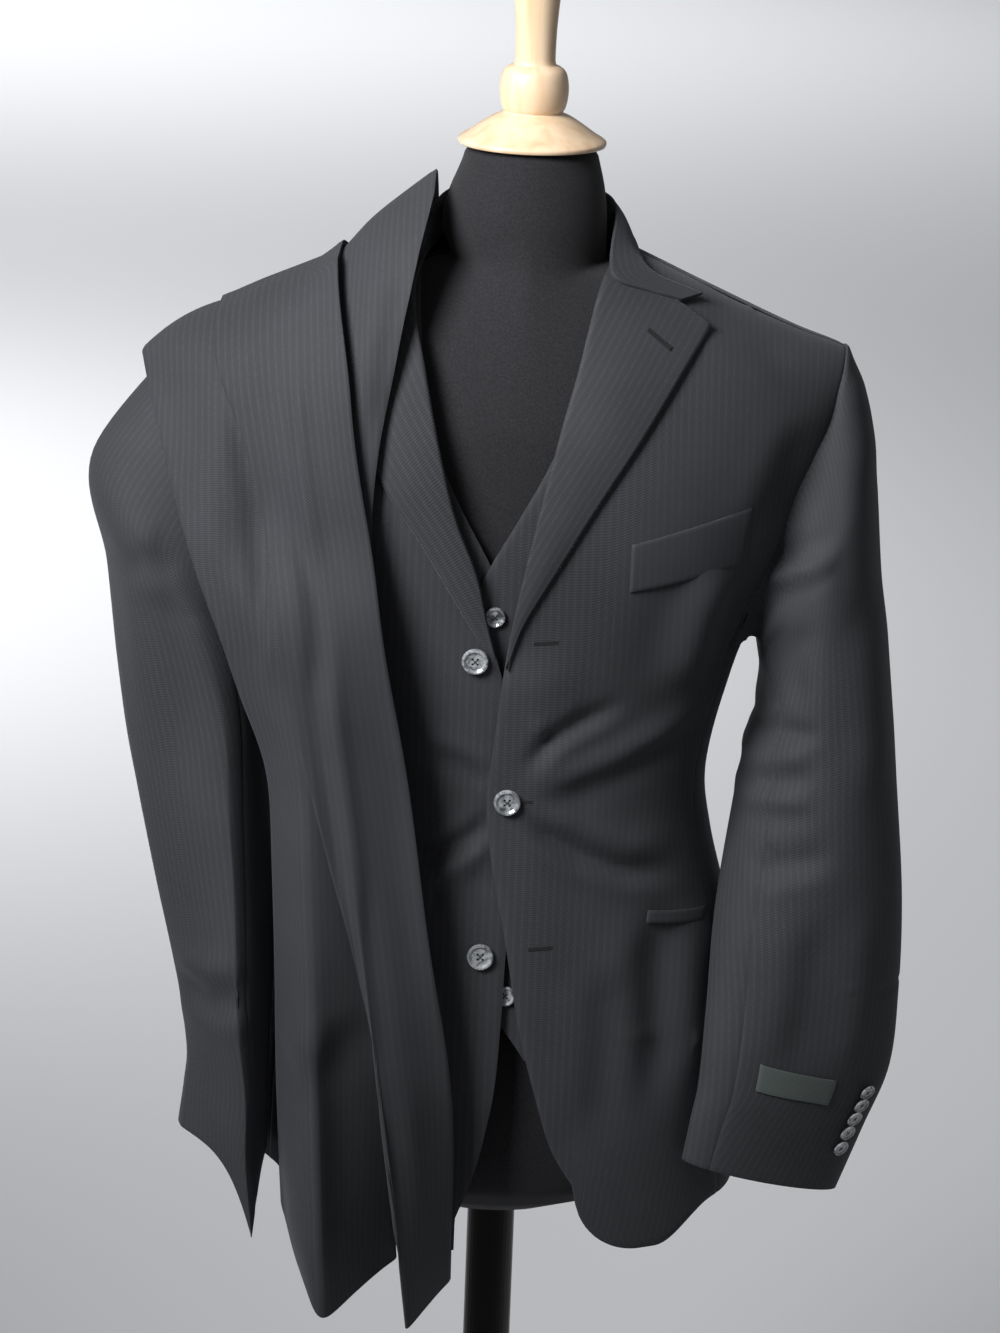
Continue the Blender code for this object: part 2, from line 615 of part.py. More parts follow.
# ---------------------------------------------------------------- trousers
# They hang over the wearer's right shoulder: legs in front, one on the other, and the
# seat and waist behind. Shoulder line of the folded cloth: distance to -X, height.
FOLD_LINE = (
    (0.060, 1.5420), (0.085, 1.5225), (0.116, 1.4960), (0.139, 1.4700), (0.163, 1.4520),
    (0.203, 1.4290), (0.247, 1.4070), (0.265, 1.3970), (0.290, 1.3760), (0.330, 1.3300),
)
LEG_HEM = {"under": (0.752, 0.700, 0.722), "upper": (0.706, 0.700, 0.712)}
WAIST_END = 1.175
# The under leg from hem to shoulder: height, then x and y of its left edge, its front
# crease and its right edge.
LEG_UNDER = (
    (0.700, -0.160, -0.095, -0.125, -0.212, -0.069, -0.125),
    (0.758, -0.161, -0.105, -0.128, -0.202, -0.074, -0.135),
    (0.850, -0.165, -0.118, -0.134, -0.186, -0.082, -0.142),
    (0.950, -0.168, -0.120, -0.140, -0.170, -0.092, -0.145),
    (1.050, -0.173, -0.118, -0.147, -0.158, -0.098, -0.140),
    (1.110, -0.177, -0.116, -0.150, -0.150, -0.100, -0.138),
    (1.150, -0.197, -0.114, -0.160, -0.146, -0.102, -0.140),
    (1.184, -0.207, -0.112, -0.162, -0.146, -0.103, -0.142),
    (1.244, -0.232, -0.102, -0.165, -0.146, -0.105, -0.146),
    (1.311, -0.254, -0.080, -0.168, -0.146, -0.105, -0.148),
    (1.362, -0.272, -0.040, -0.170, -0.130, -0.100, -0.140),
    (1.400, -0.284, 0.000, -0.172, 0.000, -0.094, 0.000),
    (1.450, -0.284, 0.000, -0.172, 0.000, -0.086, 0.000),
    (1.520, -0.284, 0.000, -0.172, 0.000, -0.070, 0.000),
)
LEG_UPPER = (
    (0.700, -0.062, -0.150, -0.061, -0.216, -0.029, -0.145),
    (0.792, -0.072, -0.155, -0.073, -0.202, -0.030, -0.148),
    (0.829, -0.078, -0.158, -0.079, -0.196, -0.029, -0.150),
    (0.899, -0.090, -0.160, -0.090, -0.182, -0.037, -0.150),
    (0.957, -0.103, -0.158, -0.099, -0.172, -0.050, -0.148),
    (1.041, -0.126, -0.152, -0.110, -0.163, -0.063, -0.146),
    (1.090, -0.140, -0.148, -0.117, -0.160, -0.070, -0.146),
    (1.147, -0.157, -0.146, -0.126, -0.158, -0.081, -0.147),
    (1.204, -0.168, -0.144, -0.133, -0.157, -0.093, -0.149),
    (1.260, -0.178, -0.140, -0.141, -0.156, -0.101, -0.151),
    (1.310, -0.189, -0.130, -0.150, -0.152, -0.111, -0.151),
    (1.355, -0.204, -0.110, -0.157, -0.146, -0.119, -0.149),
    (1.400, -0.224, 0.000, -0.164, 0.000, -0.125, 0.000),
    (1.475, -0.224, 0.000, -0.170, 0.000, -0.139, 0.000),
    (1.520, -0.224, 0.000, -0.170, 0.000, -0.139, 0.000),
)
# How far the outsides of the four layers lie over the jacket, innermost first.
LAYER = {"under_back": 0.0069, "under_front": 0.0094, "upper_back": 0.0138, "upper_front": 0.0163}


def fold_line(x, off):
    return max(table(FOLD_LINE, abs(x), 1) + off - LAYER["upper_front"], ridge(x, off))


def over_shoulder(x, z, off, back=False):
    """Depth of cloth laid over the shoulder, and hanging from chest or shoulder blade."""
    spread = 0.15 if back else 0.03
    hang_z = max(z, 1.30 if back else 1.24)
    half = table(BODY, hang_z, 1) + off + spread
    depth = table(BODY, hang_z, 3 if back else 2) + off
    across = max(0.0, 1.0 - abs(x / half) ** PANEL_SHAPE) ** (1 / PANEL_SHAPE)
    laid = depth * across * shoulder_round(fold_line(x, off) - z)
    y = max(laid, abs(trunk(x, z, off, back)))
    return y if back else -y


def leg_x(rows, z, u):
    left, crease, right = (table(rows, z, column) for column in (1, 3, 5))
    return lerp(left, crease, u * 2) if u < 0.5 else lerp(crease, right, u * 2 - 1)


def leg_y(rows, x, z, creased):
    """Depth of a leg's plan line through its edges, by way of the crease or straight."""
    left, left_y, crease, crease_y, right, right_y = (table(rows, z, c) for c in range(1, 7))
    x = min(right, max(left, x))
    if not creased:
        return lerp(left_y, right_y, (x - left) / (right - left))
    if x < crease:
        return lerp(left_y, crease_y, (x - left) / (crease - left))
    return lerp(crease_y, right_y, (x - crease) / max(0.004, right - crease))


def clear_of(name, x, z):
    """Depth that stays clear of a layer, square to it as well where it slopes."""
    return layer_y(name, x, z - 0.0022) - 0.0024


def layer_y(name, x, z):
    """Depth of one layer's outside: in front of the jacket and of the layers below it."""
    y = over_shoulder(x, z, LAYER[name])
    hangs = ease((1.38 - z) / 0.16 + ease((-0.20 - x) / 0.03))
    if name == "under_back":
        return min(y, leg_y(LEG_UNDER, x, z, False) * hangs)
    if name == "under_front":
        return min(y, leg_y(LEG_UNDER, x, z, True) * hangs, clear_of("under_back", x, z))
    under = min(y, *(clear_of("under_front", x + step, z) for step in (-0.008, 0.0, 0.008)))
    under -= 0.0028
    if name == "upper_back":
        return min(under, leg_y(LEG_UPPER, x, z, False) * hangs)
    return min(y, leg_y(LEG_UPPER, x, z, True) * hangs, clear_of("upper_back", x, z))


FRONT_SHARE = 0.725      # part of a leg panel's length that lies in front


def trouser_place(rows, name):
    off = LAYER[name]
    low_left, low_crease, low_right = LEG_HEM[name.split("_")[0]]

    def place(u, v):
        if v <= FRONT_SHARE:
            down = (1.0 - v / FRONT_SHARE) ** 1.7
            hem = lerp(low_left, low_crease, u * 2) if u < 0.5 else lerp(low_crease, low_right, u * 2 - 1)
            z = lerp(1.44, hem, down)
            for _ in range(6):
                x = leg_x(rows, z, u)
                z = lerp(fold_line(x, off), hem, down)
            return Vector((x, min(layer_y(name, x, z), 0.0), z))
        down = ((v - FRONT_SHARE) / (1.0 - FRONT_SHARE)) ** 1.5
        top = leg_x(rows, fold_line(leg_x(rows, 1.47, u), off), u)
        for _ in range(4):
            top = leg_x(rows, fold_line(top, off), u)
        x = lerp(top, lerp(-0.262, -0.060, u), down)
        z = lerp(fold_line(x, off), WAIST_END, down)
        return Vector((x, over_shoulder(x, z, off, back=True), z))

    return place


for name, rows in (("under", LEG_UNDER), ("upper", LEG_UPPER)):
    word = "right" if name == "under" else "left"
    sheet("trouser_back_" + word, 6, 20, trouser_place(rows, name + "_back"), CLOTH)
    sheet("trouser_front_" + word, 6, 20, trouser_place(rows, name + "_front"), CLOTH)


# Waistbands continue each leg's two layers at the hidden top behind the shoulder.
WAISTBAND = 0.040


def waistband_place(rows, name):
    off = LAYER[name]

    def place(u, v):
        x = lerp(-0.262, -0.060, u)
        z = WAIST_END - SEAM - WAISTBAND * v
        return Vector((x, over_shoulder(x, WAIST_END, off, back=True), z))

    return place


for name, rows in (("under", LEG_UNDER), ("upper", LEG_UPPER)):
    word = "right" if name == "under" else "left"
    for part in ("back", "front"):
        sheet("waistband_%s_%s" % (part, word), 6, 1, waistband_place(rows, name + "_" + part), CLOTH)


# ---------------------------------------------------------------- pocket and cuff pieces
def on_front(name, corners, lift, wall, across, along, material="charcoal worsted"):
    """A strip on the left jacket front: its corners' x and height, bottom then top edge."""
    (x0, z0), (x1, z1), (x2, z2), (x3, z3) = corners

    def place(u, v):
        x = lerp(lerp(x0, x1, u), lerp(x3, x2, u), v)
        z = lerp(lerp(z0, z1, u), lerp(z3, z2, u), v)
        return Vector((x, face(x, z, lift), z))

    sheet(name, across, along, place, wall, material)


WELT = ((0.083, 1.248), (0.163, 1.263), (0.170, 1.307), (0.083, 1.283))
JETTING = ((0.108, 0.987), (0.152, 0.980), (0.153, 0.988), (0.109, 0.995))
on_front("chest_welt_left", WELT, FRONT_WALL + 0.0004, FRONT_WALL, 6, 2)
on_front("hip_pocket_jetting_left", JETTING, FRONT_WALL + 0.0005, FRONT_WALL, 5, 1)

# A bare woven label on the left cuff: ring angle and way down the sleeve at its corners.
LABEL_TURN = (126.0, 78.0)
LABEL_WAY = (0.817, 0.773)


def label_place(u, v):
    turn = lerp(LABEL_TURN[0], LABEL_TURN[1], u)
    way = lerp(LABEL_WAY[0], LABEL_WAY[1], v) + 0.040 * u
    here = sleeve_ring(SLEEVE_LEFT, way, turn, 1)
    around = sleeve_ring(SLEEVE_LEFT, way, turn - 4, 1) - sleeve_ring(SLEEVE_LEFT, way, turn + 4, 1)
    along = sleeve_ring(SLEEVE_LEFT, way - 0.01, turn, 1) - sleeve_ring(SLEEVE_LEFT, way + 0.01, turn, 1)
    return here + around.cross(along).normalized() * 0.0014


sheet("cuff_label", 5, 1, label_place, 0.0006, "woven label")


# ---------------------------------------------------------------- buttons
def button_mesh(name, radius, thickness, steps):
    """A cupped button with a raised rim and four holes, its face towards +Z."""
    rim = 0.18 * radius
    profile = ((0.0, thickness * 0.62), (radius - 2 * rim, thickness * 0.62), (radius - rim, thickness),
               (radius - rim * 0.35, thickness * 0.95), (radius, thickness * 0.60),
               (radius, thickness * 0.25), (radius * 0.86, 0.0), (0.0, 0.0))
    blank = turned(name + " blank", profile, "smoked horn", sides=steps)
    holes = bmesh.new()
    for i in range(4):
        turn = math.radians(45 + 90 * i)
        made = bmesh.ops.create_cone(holes, cap_ends=True, segments=8, radius1=radius * 0.095,
                                     radius2=radius * 0.095, depth=thickness * 3)
        offset = Vector((math.cos(turn), math.sin(turn), 0.0)) * radius * 0.27
        bmesh.ops.translate(holes, verts=made["verts"], vec=offset)
    mesh = bpy.data.meshes.new("holes")
    holes.to_mesh(mesh)
    holes.free()
    cutter = bpy.data.objects.new("holes", mesh)
    suit.objects.link(cutter)
    cut = blank.modifiers.new("holes", "BOOLEAN")
    cut.object = cutter
    depsgraph = bpy.context.evaluated_depsgraph_get()
    button = bpy.data.meshes.new_from_object(blank.evaluated_get(depsgraph))
    button.name = name
    bpy.data.objects.remove(cutter)
    bpy.data.objects.remove(blank)
    return button


FRONT_BUTTON = button_mesh("front button", 0.0100, 0.0040, 24)
SMALL_BUTTON = button_mesh("small button", 0.0078, 0.0032, 18)
CUFF_BUTTON = button_mesh("cuff button", 0.0067, 0.0021, 16)


def button(name, mesh, seat, outward):
    """Set a button's back on a seat, facing along a direction."""
    piece = bpy.data.objects.new(name, mesh)
    suit.objects.link(piece)
    piece.rotation_mode = "QUATERNION"
    piece.rotation_quaternion = outward.to_track_quat("Z", "Y")
    piece.location = seat
    return piece


def front_normal(x, z, off):
    step = 0.006
    right = Vector((2 * step, face(x + step, z, off) - face(x - step, z, off), 0.0))
    up = Vector((0.0, face(x, z + step, off) - face(x, z - step, off), 2 * step))
    return right.cross(up).normalized()


BUTTON_GAP = 0.0005
FRONT_BUTTONS = (("top", -0.027, 1.192, False), ("middle", 0.000, 1.083, True), ("bottom", -0.0155, 0.962, False))
for word, x, z, lapped in FRONT_BUTTONS:
    off = BUTTON_GAP + (lap(x, z) if lapped else 0.0)
    normal = front_normal(x, z, off)
    button("front_button_" + word, FRONT_BUTTON, Vector((x, face(x, z, off), z)), normal)

WAISTCOAT_BUTTONS = 5
for i in range(WAISTCOAT_BUTTONS):
    z = lerp(1.225, 0.930, i / (WAISTCOAT_BUTTONS - 1))
    x = lerp(-0.014, 0.004, i / (WAISTCOAT_BUTTONS - 1))
    off = -WAISTCOAT_IN
    seat = Vector((x, face(x, z, off) - WAISTCOAT_LAP - 0.0003, z))
    button("waistcoat_button_%d" % (i + 1), SMALL_BUTTON, seat, front_normal(x, z, off))

# Five kissing buttons in a row at the back of each cuff: each leans on the next.
CUFF_BUTTONS = 5
CUFF_LEAN = 15.0
CUFF_ROWS = (
    (1, "left", SLEEVE_LEFT, 50.0, 0.845, 0.940), (-1, "right", SLEEVE_RIGHT, -58.0, 0.760, 0.950),
)
for side, word, rows, turn, first, last in CUFF_ROWS:
    for i in range(CUFF_BUTTONS):
        way = lerp(first, last, i / (CUFF_BUTTONS - 1))
        here = sleeve_ring(rows, way, turn, side)
        around = sleeve_ring(rows, way, turn + 4, side) - sleeve_ring(rows, way, turn - 4, side)
        along = sleeve_ring(rows, way - 0.01, turn, side) - sleeve_ring(rows, way + 0.01, turn, side)
        normal = around.cross(along).normalized() * -side
        lean = Quaternion(along.cross(normal).normalized(), math.radians(CUFF_LEAN))
        seat = here + normal * (0.0012 + BUTTON_GAP)
        button("cuff_button_%s_%d" % (word, i + 1), CUFF_BUTTON, seat, lean @ normal)


# ---------------------------------------------------------------- dress form and stand
# Neck of the form, tapering to its top: height, half width, front depth, back depth.
FORM_NECK = (
    (1.440, 0.0575, 0.0600, 0.0440), (1.495, 0.0572, 0.0595, 0.0440), (1.520, 0.0545, 0.0560, 0.0415),
    (1.543, 0.0490, 0.0505, 0.0375),
)
FORM_FILLET = 0.012      # how softly the neck grows out of the chest
FORM_NECK_TOP = 1.549
FORM_BOTTOM = 0.722
# Form: height, half width, front depth, back depth.
FORM = (
    (0.740, 0.100, 0.070, 0.066), (0.760, 0.128, 0.088, 0.084), (0.800, 0.145, 0.098, 0.094),
    (0.880, 0.152, 0.101, 0.096), (0.960, 0.145, 0.095, 0.090), (1.040, 0.132, 0.092, 0.080),
    (1.080, 0.128, 0.092, 0.077), (1.140, 0.134, 0.098, 0.083), (1.220, 0.150, 0.108, 0.096),
    (1.300, 0.168, 0.112, 0.104), (1.350, 0.186, 0.112, 0.108), (1.400, 0.210, 0.106, 0.104),
)


def form_half_width(z):
    """Half width: the torso's, then down the shoulder slope, then the neck's."""
    if z <= 1.400:
        return table(FORM, z, 1)
    inside = [x / 1000 for x in range(0, 215) if ridge(x / 1000, -FORM_IN) >= z]
    return max(table(FORM_NECK, z, 1), inside[-1] if inside else 0.0)


def form_place(u, v):
    heights = FORM_HEIGHTS
    spot = v * (len(heights) - 1)
    low = min(int(spot + 1e-6), len(heights) - 2)
    z = lerp(heights[low], heights[low + 1], spot - low)
    turn = 2 * math.pi * u
    half = form_half_width(z)
    x = half * math.copysign(abs(math.sin(turn)) ** 0.9, math.sin(turn))
    back = math.cos(turn) < 0
    depth = table(FORM, z, 3 if back else 2)
    across = max(0.0, 1.0 - abs(x / half) ** 2.2) ** (1 / 2.2)
    torso = depth * across
    if z > 1.30:
        slim = FORM_IN + (0.003 + 0.016 * ease((z - 1.43) / 0.03) if back else 0.003)
        torso = min(torso, max(abs(trunk(x, z, -slim, back)), 0.008 * across))
    round_in = max(0.0, 1.0 - (x / table(FORM_NECK, z, 1)) ** 2)
    neck = table(FORM_NECK, z, 3 if back else 2) * round_in ** 0.5 * ease((z - 1.40) / 0.05)
    fillet = FORM_FILLET * round_in
    y = (torso + neck + math.hypot(torso - neck, fillet)) / 2
    return Vector((x, y if back else -y, z))


FORM_HEIGHTS = (0.740, 0.760, 0.800, 0.850, 0.910, 0.970, 1.030, 1.080, 1.140, 1.200, 1.260, 1.310,
                1.350, 1.380, 1.396, 1.407, 1.416, 1.425, 1.435, 1.446, 1.454, 1.461, 1.467, 1.4725,
                1.480, 1.490, 1.503, 1.520, 1.533, 1.543)


def form():
    grid = bmesh.new()
    bmesh.ops.create_grid(grid, x_segments=36, y_segments=len(FORM_HEIGHTS) - 1, size=1.0)
    for vert in grid.verts:
        vert.co = form_place((vert.co.x + 1) / 2, (vert.co.y + 1) / 2)
    bmesh.ops.remove_doubles(grid, verts=grid.verts, dist=0.00001)
    for height, inset, drop in ((0.740, 0.55, FORM_BOTTOM), (1.543, 0.93, FORM_NECK_TOP)):
        edges = [e for e in grid.edges if e.is_boundary and all(abs(v.co.z - height) < 1e-5 for v in e.verts)]
        made = bmesh.ops.extrude_edge_only(grid, edges=edges)["geom"]
        verts = [v for v in made if isinstance(v, bmesh.types.BMVert)]
        for vert in verts:
            vert.co = Vector((vert.co.x * inset, vert.co.y * inset, drop))
        rim = [e for e in made if isinstance(e, bmesh.types.BMEdge) and all(v in verts for v in e.verts)]
        bmesh.ops.edgeloop_fill(grid, edges=rim)
    bmesh.ops.recalc_face_normals(grid, faces=grid.faces)
    mesh = bpy.data.meshes.new("form_torso")
    grid.to_mesh(mesh)
    grid.free()
    return add("form_torso", mesh, "black jersey")


form()

DISC = FORM_NECK_TOP + 0.0003
turned("neck_block", (
    (0.0, 1.700), (0.0165, 1.700), (0.0200, 1.696), (0.0198, 1.690), (0.0150, 1.640), (0.0145, 1.619),
    (0.0190, 1.614), (0.0235, 1.604), (0.0250, 1.592), (0.0235, 1.581), (0.0190, 1.573),
    (0.0175, 1.571), (0.0240, 1.5685), (0.0350, 1.564), (0.0460, 1.5585), (0.0530, 1.554),
    (0.0540, 1.552), (0.0530, DISC), (0.0, DISC)), "lacquered wood", sides=40)
POLE_TOP = FORM_BOTTOM - 0.0003
BASE_TOP = 0.016
turned("pole", (
    (0.0, POLE_TOP), (0.0185, POLE_TOP), (0.0185, 0.300), (0.0, 0.300)), "black gloss")
turned("pole_sleeve", (
    (0.0, 0.2997), (0.0200, 0.2997), (0.0235, 0.296), (0.0235, 0.060), (0.0300, 0.045), (0.0450, 0.034),
    (0.0480, 0.0263), (0.0, 0.0263)), "black gloss")
turned("base", (
    (0.0, 0.026), (0.060, 0.026), (0.150, 0.020), (0.190, 0.013), (0.196, 0.009), (0.196, 0.002),
    (0.194, 0.0), (0.0, 0.0)), "black gloss", sides=48)
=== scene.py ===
# %% [markdown]
# # A three-piece suit on a dress form
# A jacket and a waistcoat are worn by a dress form, and the trousers hang over its right
# shoulder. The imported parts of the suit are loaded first. The pole, the base and the
# buttons keep their own meshes and only get finishes. The torso and the neck block are
# made again more finely, and each cloth panel is woven again as a fine net on the same
# tailor's sizes, so it can carry the small folds that a stiff solid leaves out.

import math

import bmesh
import bpy
import numpy as np
from mathutils import Matrix, Vector


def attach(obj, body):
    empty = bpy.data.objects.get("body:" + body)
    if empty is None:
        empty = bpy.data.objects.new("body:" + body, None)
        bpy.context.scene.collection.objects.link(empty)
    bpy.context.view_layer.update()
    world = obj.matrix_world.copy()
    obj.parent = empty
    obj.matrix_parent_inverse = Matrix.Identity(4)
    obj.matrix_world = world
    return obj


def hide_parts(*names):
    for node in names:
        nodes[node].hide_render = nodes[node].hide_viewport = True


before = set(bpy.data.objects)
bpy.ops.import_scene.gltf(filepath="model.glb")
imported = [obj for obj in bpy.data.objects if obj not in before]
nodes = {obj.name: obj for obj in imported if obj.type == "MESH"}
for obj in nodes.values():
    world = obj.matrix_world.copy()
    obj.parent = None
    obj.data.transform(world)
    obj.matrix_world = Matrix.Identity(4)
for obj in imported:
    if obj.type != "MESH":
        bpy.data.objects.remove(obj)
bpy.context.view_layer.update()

# %% [markdown]
# ## Colours and nodes
# Tailors name a cloth by its shade under daylight, so colours are written as sRGB hex, as
# they would look on a screen. Blender's shaders add up light, so one function turns them
# to linear light. One helper adds any shader node, sets it and links it, which keeps each
# material below short enough to read as a recipe.


# %% Colour and node helpers
def linear(shade):
    """An sRGB hex colour as linear RGBA."""
    parts = [int(shade[i:i + 2], 16) / 255.0 for i in (1, 3, 5)]
    return [c / 12.92 if c <= 0.04045 else ((c + 0.055) / 1.055) ** 2.4 for c in parts] + [1.0]


def node(tree, kind, links=None, **settings):
    """Add a shader node, set its sockets and properties, and link its inputs.

    A setting with a capital is a socket by name, in_1 a socket by place, because the Math
    and Mix nodes give several sockets one name. Stops are a ramp's (place, sRGB hex)
    pairs. The rest are properties of the node.
    """
    made = tree.nodes.new("ShaderNode" + kind)
    for key, value in settings.items():
        if key.startswith("in_"):
            made.inputs[int(key[3:])].default_value = value
        elif key[0].isupper():
            made.inputs[key.replace("_", " ")].default_value = value
        elif key == "stops":
            while len(made.color_ramp.elements) < len(value):
                made.color_ramp.elements.new(0.5)
            for element, (place, shade) in zip(made.color_ramp.elements, value):
                element.position, element.color = place, linear(shade)
        else:
            setattr(made, key, value)
    for socket, source in (links or {}).items():
        tree.links.new(source, made.inputs[socket])
    return made


def finish_of(name, **sockets):
    """A material with one Principled shader, and its constant sockets set."""
    made = bpy.data.materials.new(name)
    made.use_nodes = True
    shader = made.node_tree.nodes["Principled BSDF"]
    for socket, value in sockets.items():
        shader.inputs[socket.replace("_", " ")].default_value = value
    return made, made.node_tree, shader


print("mid grey in linear light:", round(linear("#808080")[0], 3))

# %% [markdown]
# ## Charcoal worsted
# Worsted is smooth combed wool. This one has a self-stripe: every 5.8 mm a few warp
# threads run in herringbone instead of plain twill, so they catch light a little more
# although the yarn is the same colour. A stripe could be a picture wrapped on the cloth,
# but a wave texture stays sharp from near and far. It reads each panel's own flat cut, in
# metres, from its UV map, so the stripes bend with the cloth and stop at its seams. The
# twill's ribs are 0.5 mm apart, too fine to show, so they are drawn at 1.6 mm.

# %% Worsted
STRIPE = 0.0058          # distance between stripes
RIB = 0.0016             # distance between twill ribs, as drawn
WAVE_PERIOD = 0.31416    # metres in one wave of the texture at scale 1


def worsted(name, dark, light, stripe_strength):
    """Combed wool: matt, with a faint bloom of loose fibre that lights up at its edges."""
    made, tree, shader = finish_of(name, Roughness=0.78, IOR=1.5)
    shader.inputs["Specular IOR Level"].default_value = 0.32
    shader.inputs["Sheen Weight"].default_value = 0.16
    shader.inputs["Sheen Roughness"].default_value = 0.45
    shader.inputs["Sheen Tint"].default_value = linear("#aab0b8")
    cut = node(tree, "TexCoord").outputs["UV"]
    place = node(tree, "TexCoord").outputs["Object"]
    stripe = node(tree, "TexWave", {"Vector": cut}, wave_type="BANDS", bands_direction="X",
                  Scale=WAVE_PERIOD / STRIPE, Distortion=0.0)
    line = node(tree, "ValToRGB", {"Fac": stripe.outputs["Fac"]},
                stops=((0.55, "#000000"), (0.95, "#ffffff")))
    broken = node(tree, "TexNoise", {"Vector": cut}, Scale=230.0, Detail=1.0)
    gate = node(tree, "MapRange", {"Value": broken.outputs["Fac"]}, From_Min=0.35, From_Max=0.65,
                To_Min=0.45, To_Max=1.0)
    strength = node(tree, "Math", {0: line.outputs["Color"], 1: gate.outputs["Result"]},
                    operation="MULTIPLY")
    part = node(tree, "Math", {0: strength.outputs[0]}, operation="MULTIPLY",
                in_1=stripe_strength)
    shade = node(tree, "TexNoise", {"Vector": place}, Scale=9.0, Detail=3.0)
    ground = node(tree, "ValToRGB", {"Fac": shade.outputs["Fac"]},
                  stops=((0.3, dark[0]), (0.7, dark[1])))
    colour = node(tree, "Mix", {0: part.outputs[0], 6: ground.outputs["Color"]},
                  data_type="RGBA", in_7=linear(light))
    tree.links.new(colour.outputs[2], shader.inputs["Base Color"])
    slant = node(tree, "Mapping", {"Vector": cut}, Rotation=(0.0, 0.0, math.radians(58)))
    twill = node(tree, "TexWave", {"Vector": slant.outputs[0]}, wave_type="BANDS",
                 bands_direction="X", Scale=WAVE_PERIOD / RIB, Distortion=0.6)
    hair = node(tree, "TexNoise", {"Vector": place}, Scale=900.0, Detail=2.0)
    relief = node(tree, "Math", {0: twill.outputs["Fac"], 1: hair.outputs["Fac"]}, operation="ADD")
    both = node(tree, "Math", {0: relief.outputs[0], 1: part.outputs[0]}, operation="ADD")
    bump = node(tree, "Bump", {"Height": both.outputs[0]}, Strength=0.30, Distance=0.0004)
    tree.links.new(bump.outputs[0], shader.inputs["Normal"])
    return made


WORSTED = worsted("charcoal worsted", ("#2c2d30", "#343539"), "#4c4d52", 0.20)
print("worsted made, stripes", STRIPE * 1000, "mm apart")

# %% [markdown]
# ## Jersey for the torso
# A dress form is covered with knitted cotton, stretched tight. Knitting is rougher and
# duller than woven wool, and its ribs are about 2 mm apart when stretched. A wave texture
# gives the ribs as bump, and a fine noise the fuzz, because true loops would be far too
# small to show.

# %% Jersey
JERSEY_RIB = 0.0022      # distance between ribs


def jersey():
    """Knitted cotton: nearly no shine, and a soft edge where its fuzz meets the light."""
    made, tree, shader = finish_of("black cotton jersey", Roughness=0.88)
    place = node(tree, "TexCoord").outputs["Object"]
    ribs = node(tree, "TexWave", {"Vector": place}, wave_type="BANDS",
                bands_direction="DIAGONAL", Scale=WAVE_PERIOD / JERSEY_RIB, Distortion=1.5)
    fuzz = node(tree, "TexNoise", {"Vector": place}, Scale=700.0, Detail=2.0)
    colour = node(tree, "ValToRGB", {"Fac": fuzz.outputs["Fac"]},
                  stops=((0.35, "#1a1a1d"), (0.7, "#26262a")))
    tree.links.new(colour.outputs["Color"], shader.inputs["Base Color"])
    bump = node(tree, "Bump", {"Height": ribs.outputs["Fac"]}, Strength=0.25, Distance=0.0003)
    tree.links.new(bump.outputs[0], shader.inputs["Normal"])
    shader.inputs["Sheen Weight"].default_value = 0.12
    shader.inputs["Specular IOR Level"].default_value = 0.25
    return made


JERSEY = jersey()
print("finish made:", JERSEY.name)

# %% [markdown]
# ## Beech and gloss paint for the stand
# The neck block is turned beech under clear lacquer: pale wood with a long soft grain and
# a second, sharper shine from the lacquer, which the Coat sockets give. The grain is noise
# stretched along the pole, since a turned block is cut along the grain. The pole and the
# base are steel under black-brown gloss paint. Paint sprayed on steel is never quite
# flat, so a low bump gives it its orange peel.


# %% Wood and paint
def beech():
    """Lacquered beech: warm and pale, with a soft shine and a crisp one over it."""
    made, tree, shader = finish_of("lacquered beech", Roughness=0.38, IOR=1.5)
    shader.inputs["Coat Weight"].default_value = 0.5
    shader.inputs["Coat Roughness"].default_value = 0.16
    place = node(tree, "TexCoord").outputs["Object"]
    long = node(tree, "Mapping", {"Vector": place}, Scale=(1.0, 1.0, 0.10))
    grain = node(tree, "TexNoise", {"Vector": long.outputs[0]}, Scale=70.0, Detail=4.0,
                 Distortion=0.6)
    colour = node(tree, "ValToRGB", {"Fac": grain.outputs["Fac"]},
                  stops=((0.25, "#d5b38e"), (0.5, "#e2c6a5"), (0.8, "#ebd3b6")))
    tree.links.new(colour.outputs["Color"], shader.inputs["Base Color"])
    pores = node(tree, "TexNoise", {"Vector": long.outputs[0]}, Scale=480.0, Detail=2.0)
    bump = node(tree, "Bump", {"Height": pores.outputs["Fac"]}, Strength=0.05, Distance=0.0003)
    tree.links.new(bump.outputs[0], shader.inputs["Normal"])
    return made


def paint():
    """Gloss paint on steel: nearly black, with small sharp highlights that wander a bit."""
    made, tree, shader = finish_of("black-brown gloss paint")
    shader.inputs["Specular IOR Level"].default_value = 0.2
    shader.inputs["Coat Weight"].default_value = 0.15
    shader.inputs["Coat Roughness"].default_value = 0.06
    place = node(tree, "TexCoord").outputs["Object"]
    cloud = node(tree, "TexNoise", {"Vector": place}, Scale=14.0, Detail=3.0)
    colour = node(tree, "ValToRGB", {"Fac": cloud.outputs["Fac"]},
                  stops=((0.3, "#0b0706"), (0.75, "#140d0a")))
    tree.links.new(colour.outputs["Color"], shader.inputs["Base Color"])
    dust = node(tree, "MapRange", {"Value": cloud.outputs["Fac"]}, To_Min=0.16, To_Max=0.30)
    tree.links.new(dust.outputs["Result"], shader.inputs["Roughness"])
    peel = node(tree, "TexNoise", {"Vector": place}, Scale=260.0, Detail=1.0)
    bump = node(tree, "Bump", {"Height": peel.outputs["Fac"]}, Strength=0.03, Distance=0.0002)
    tree.links.new(bump.outputs[0], shader.inputs["Normal"])
    return made


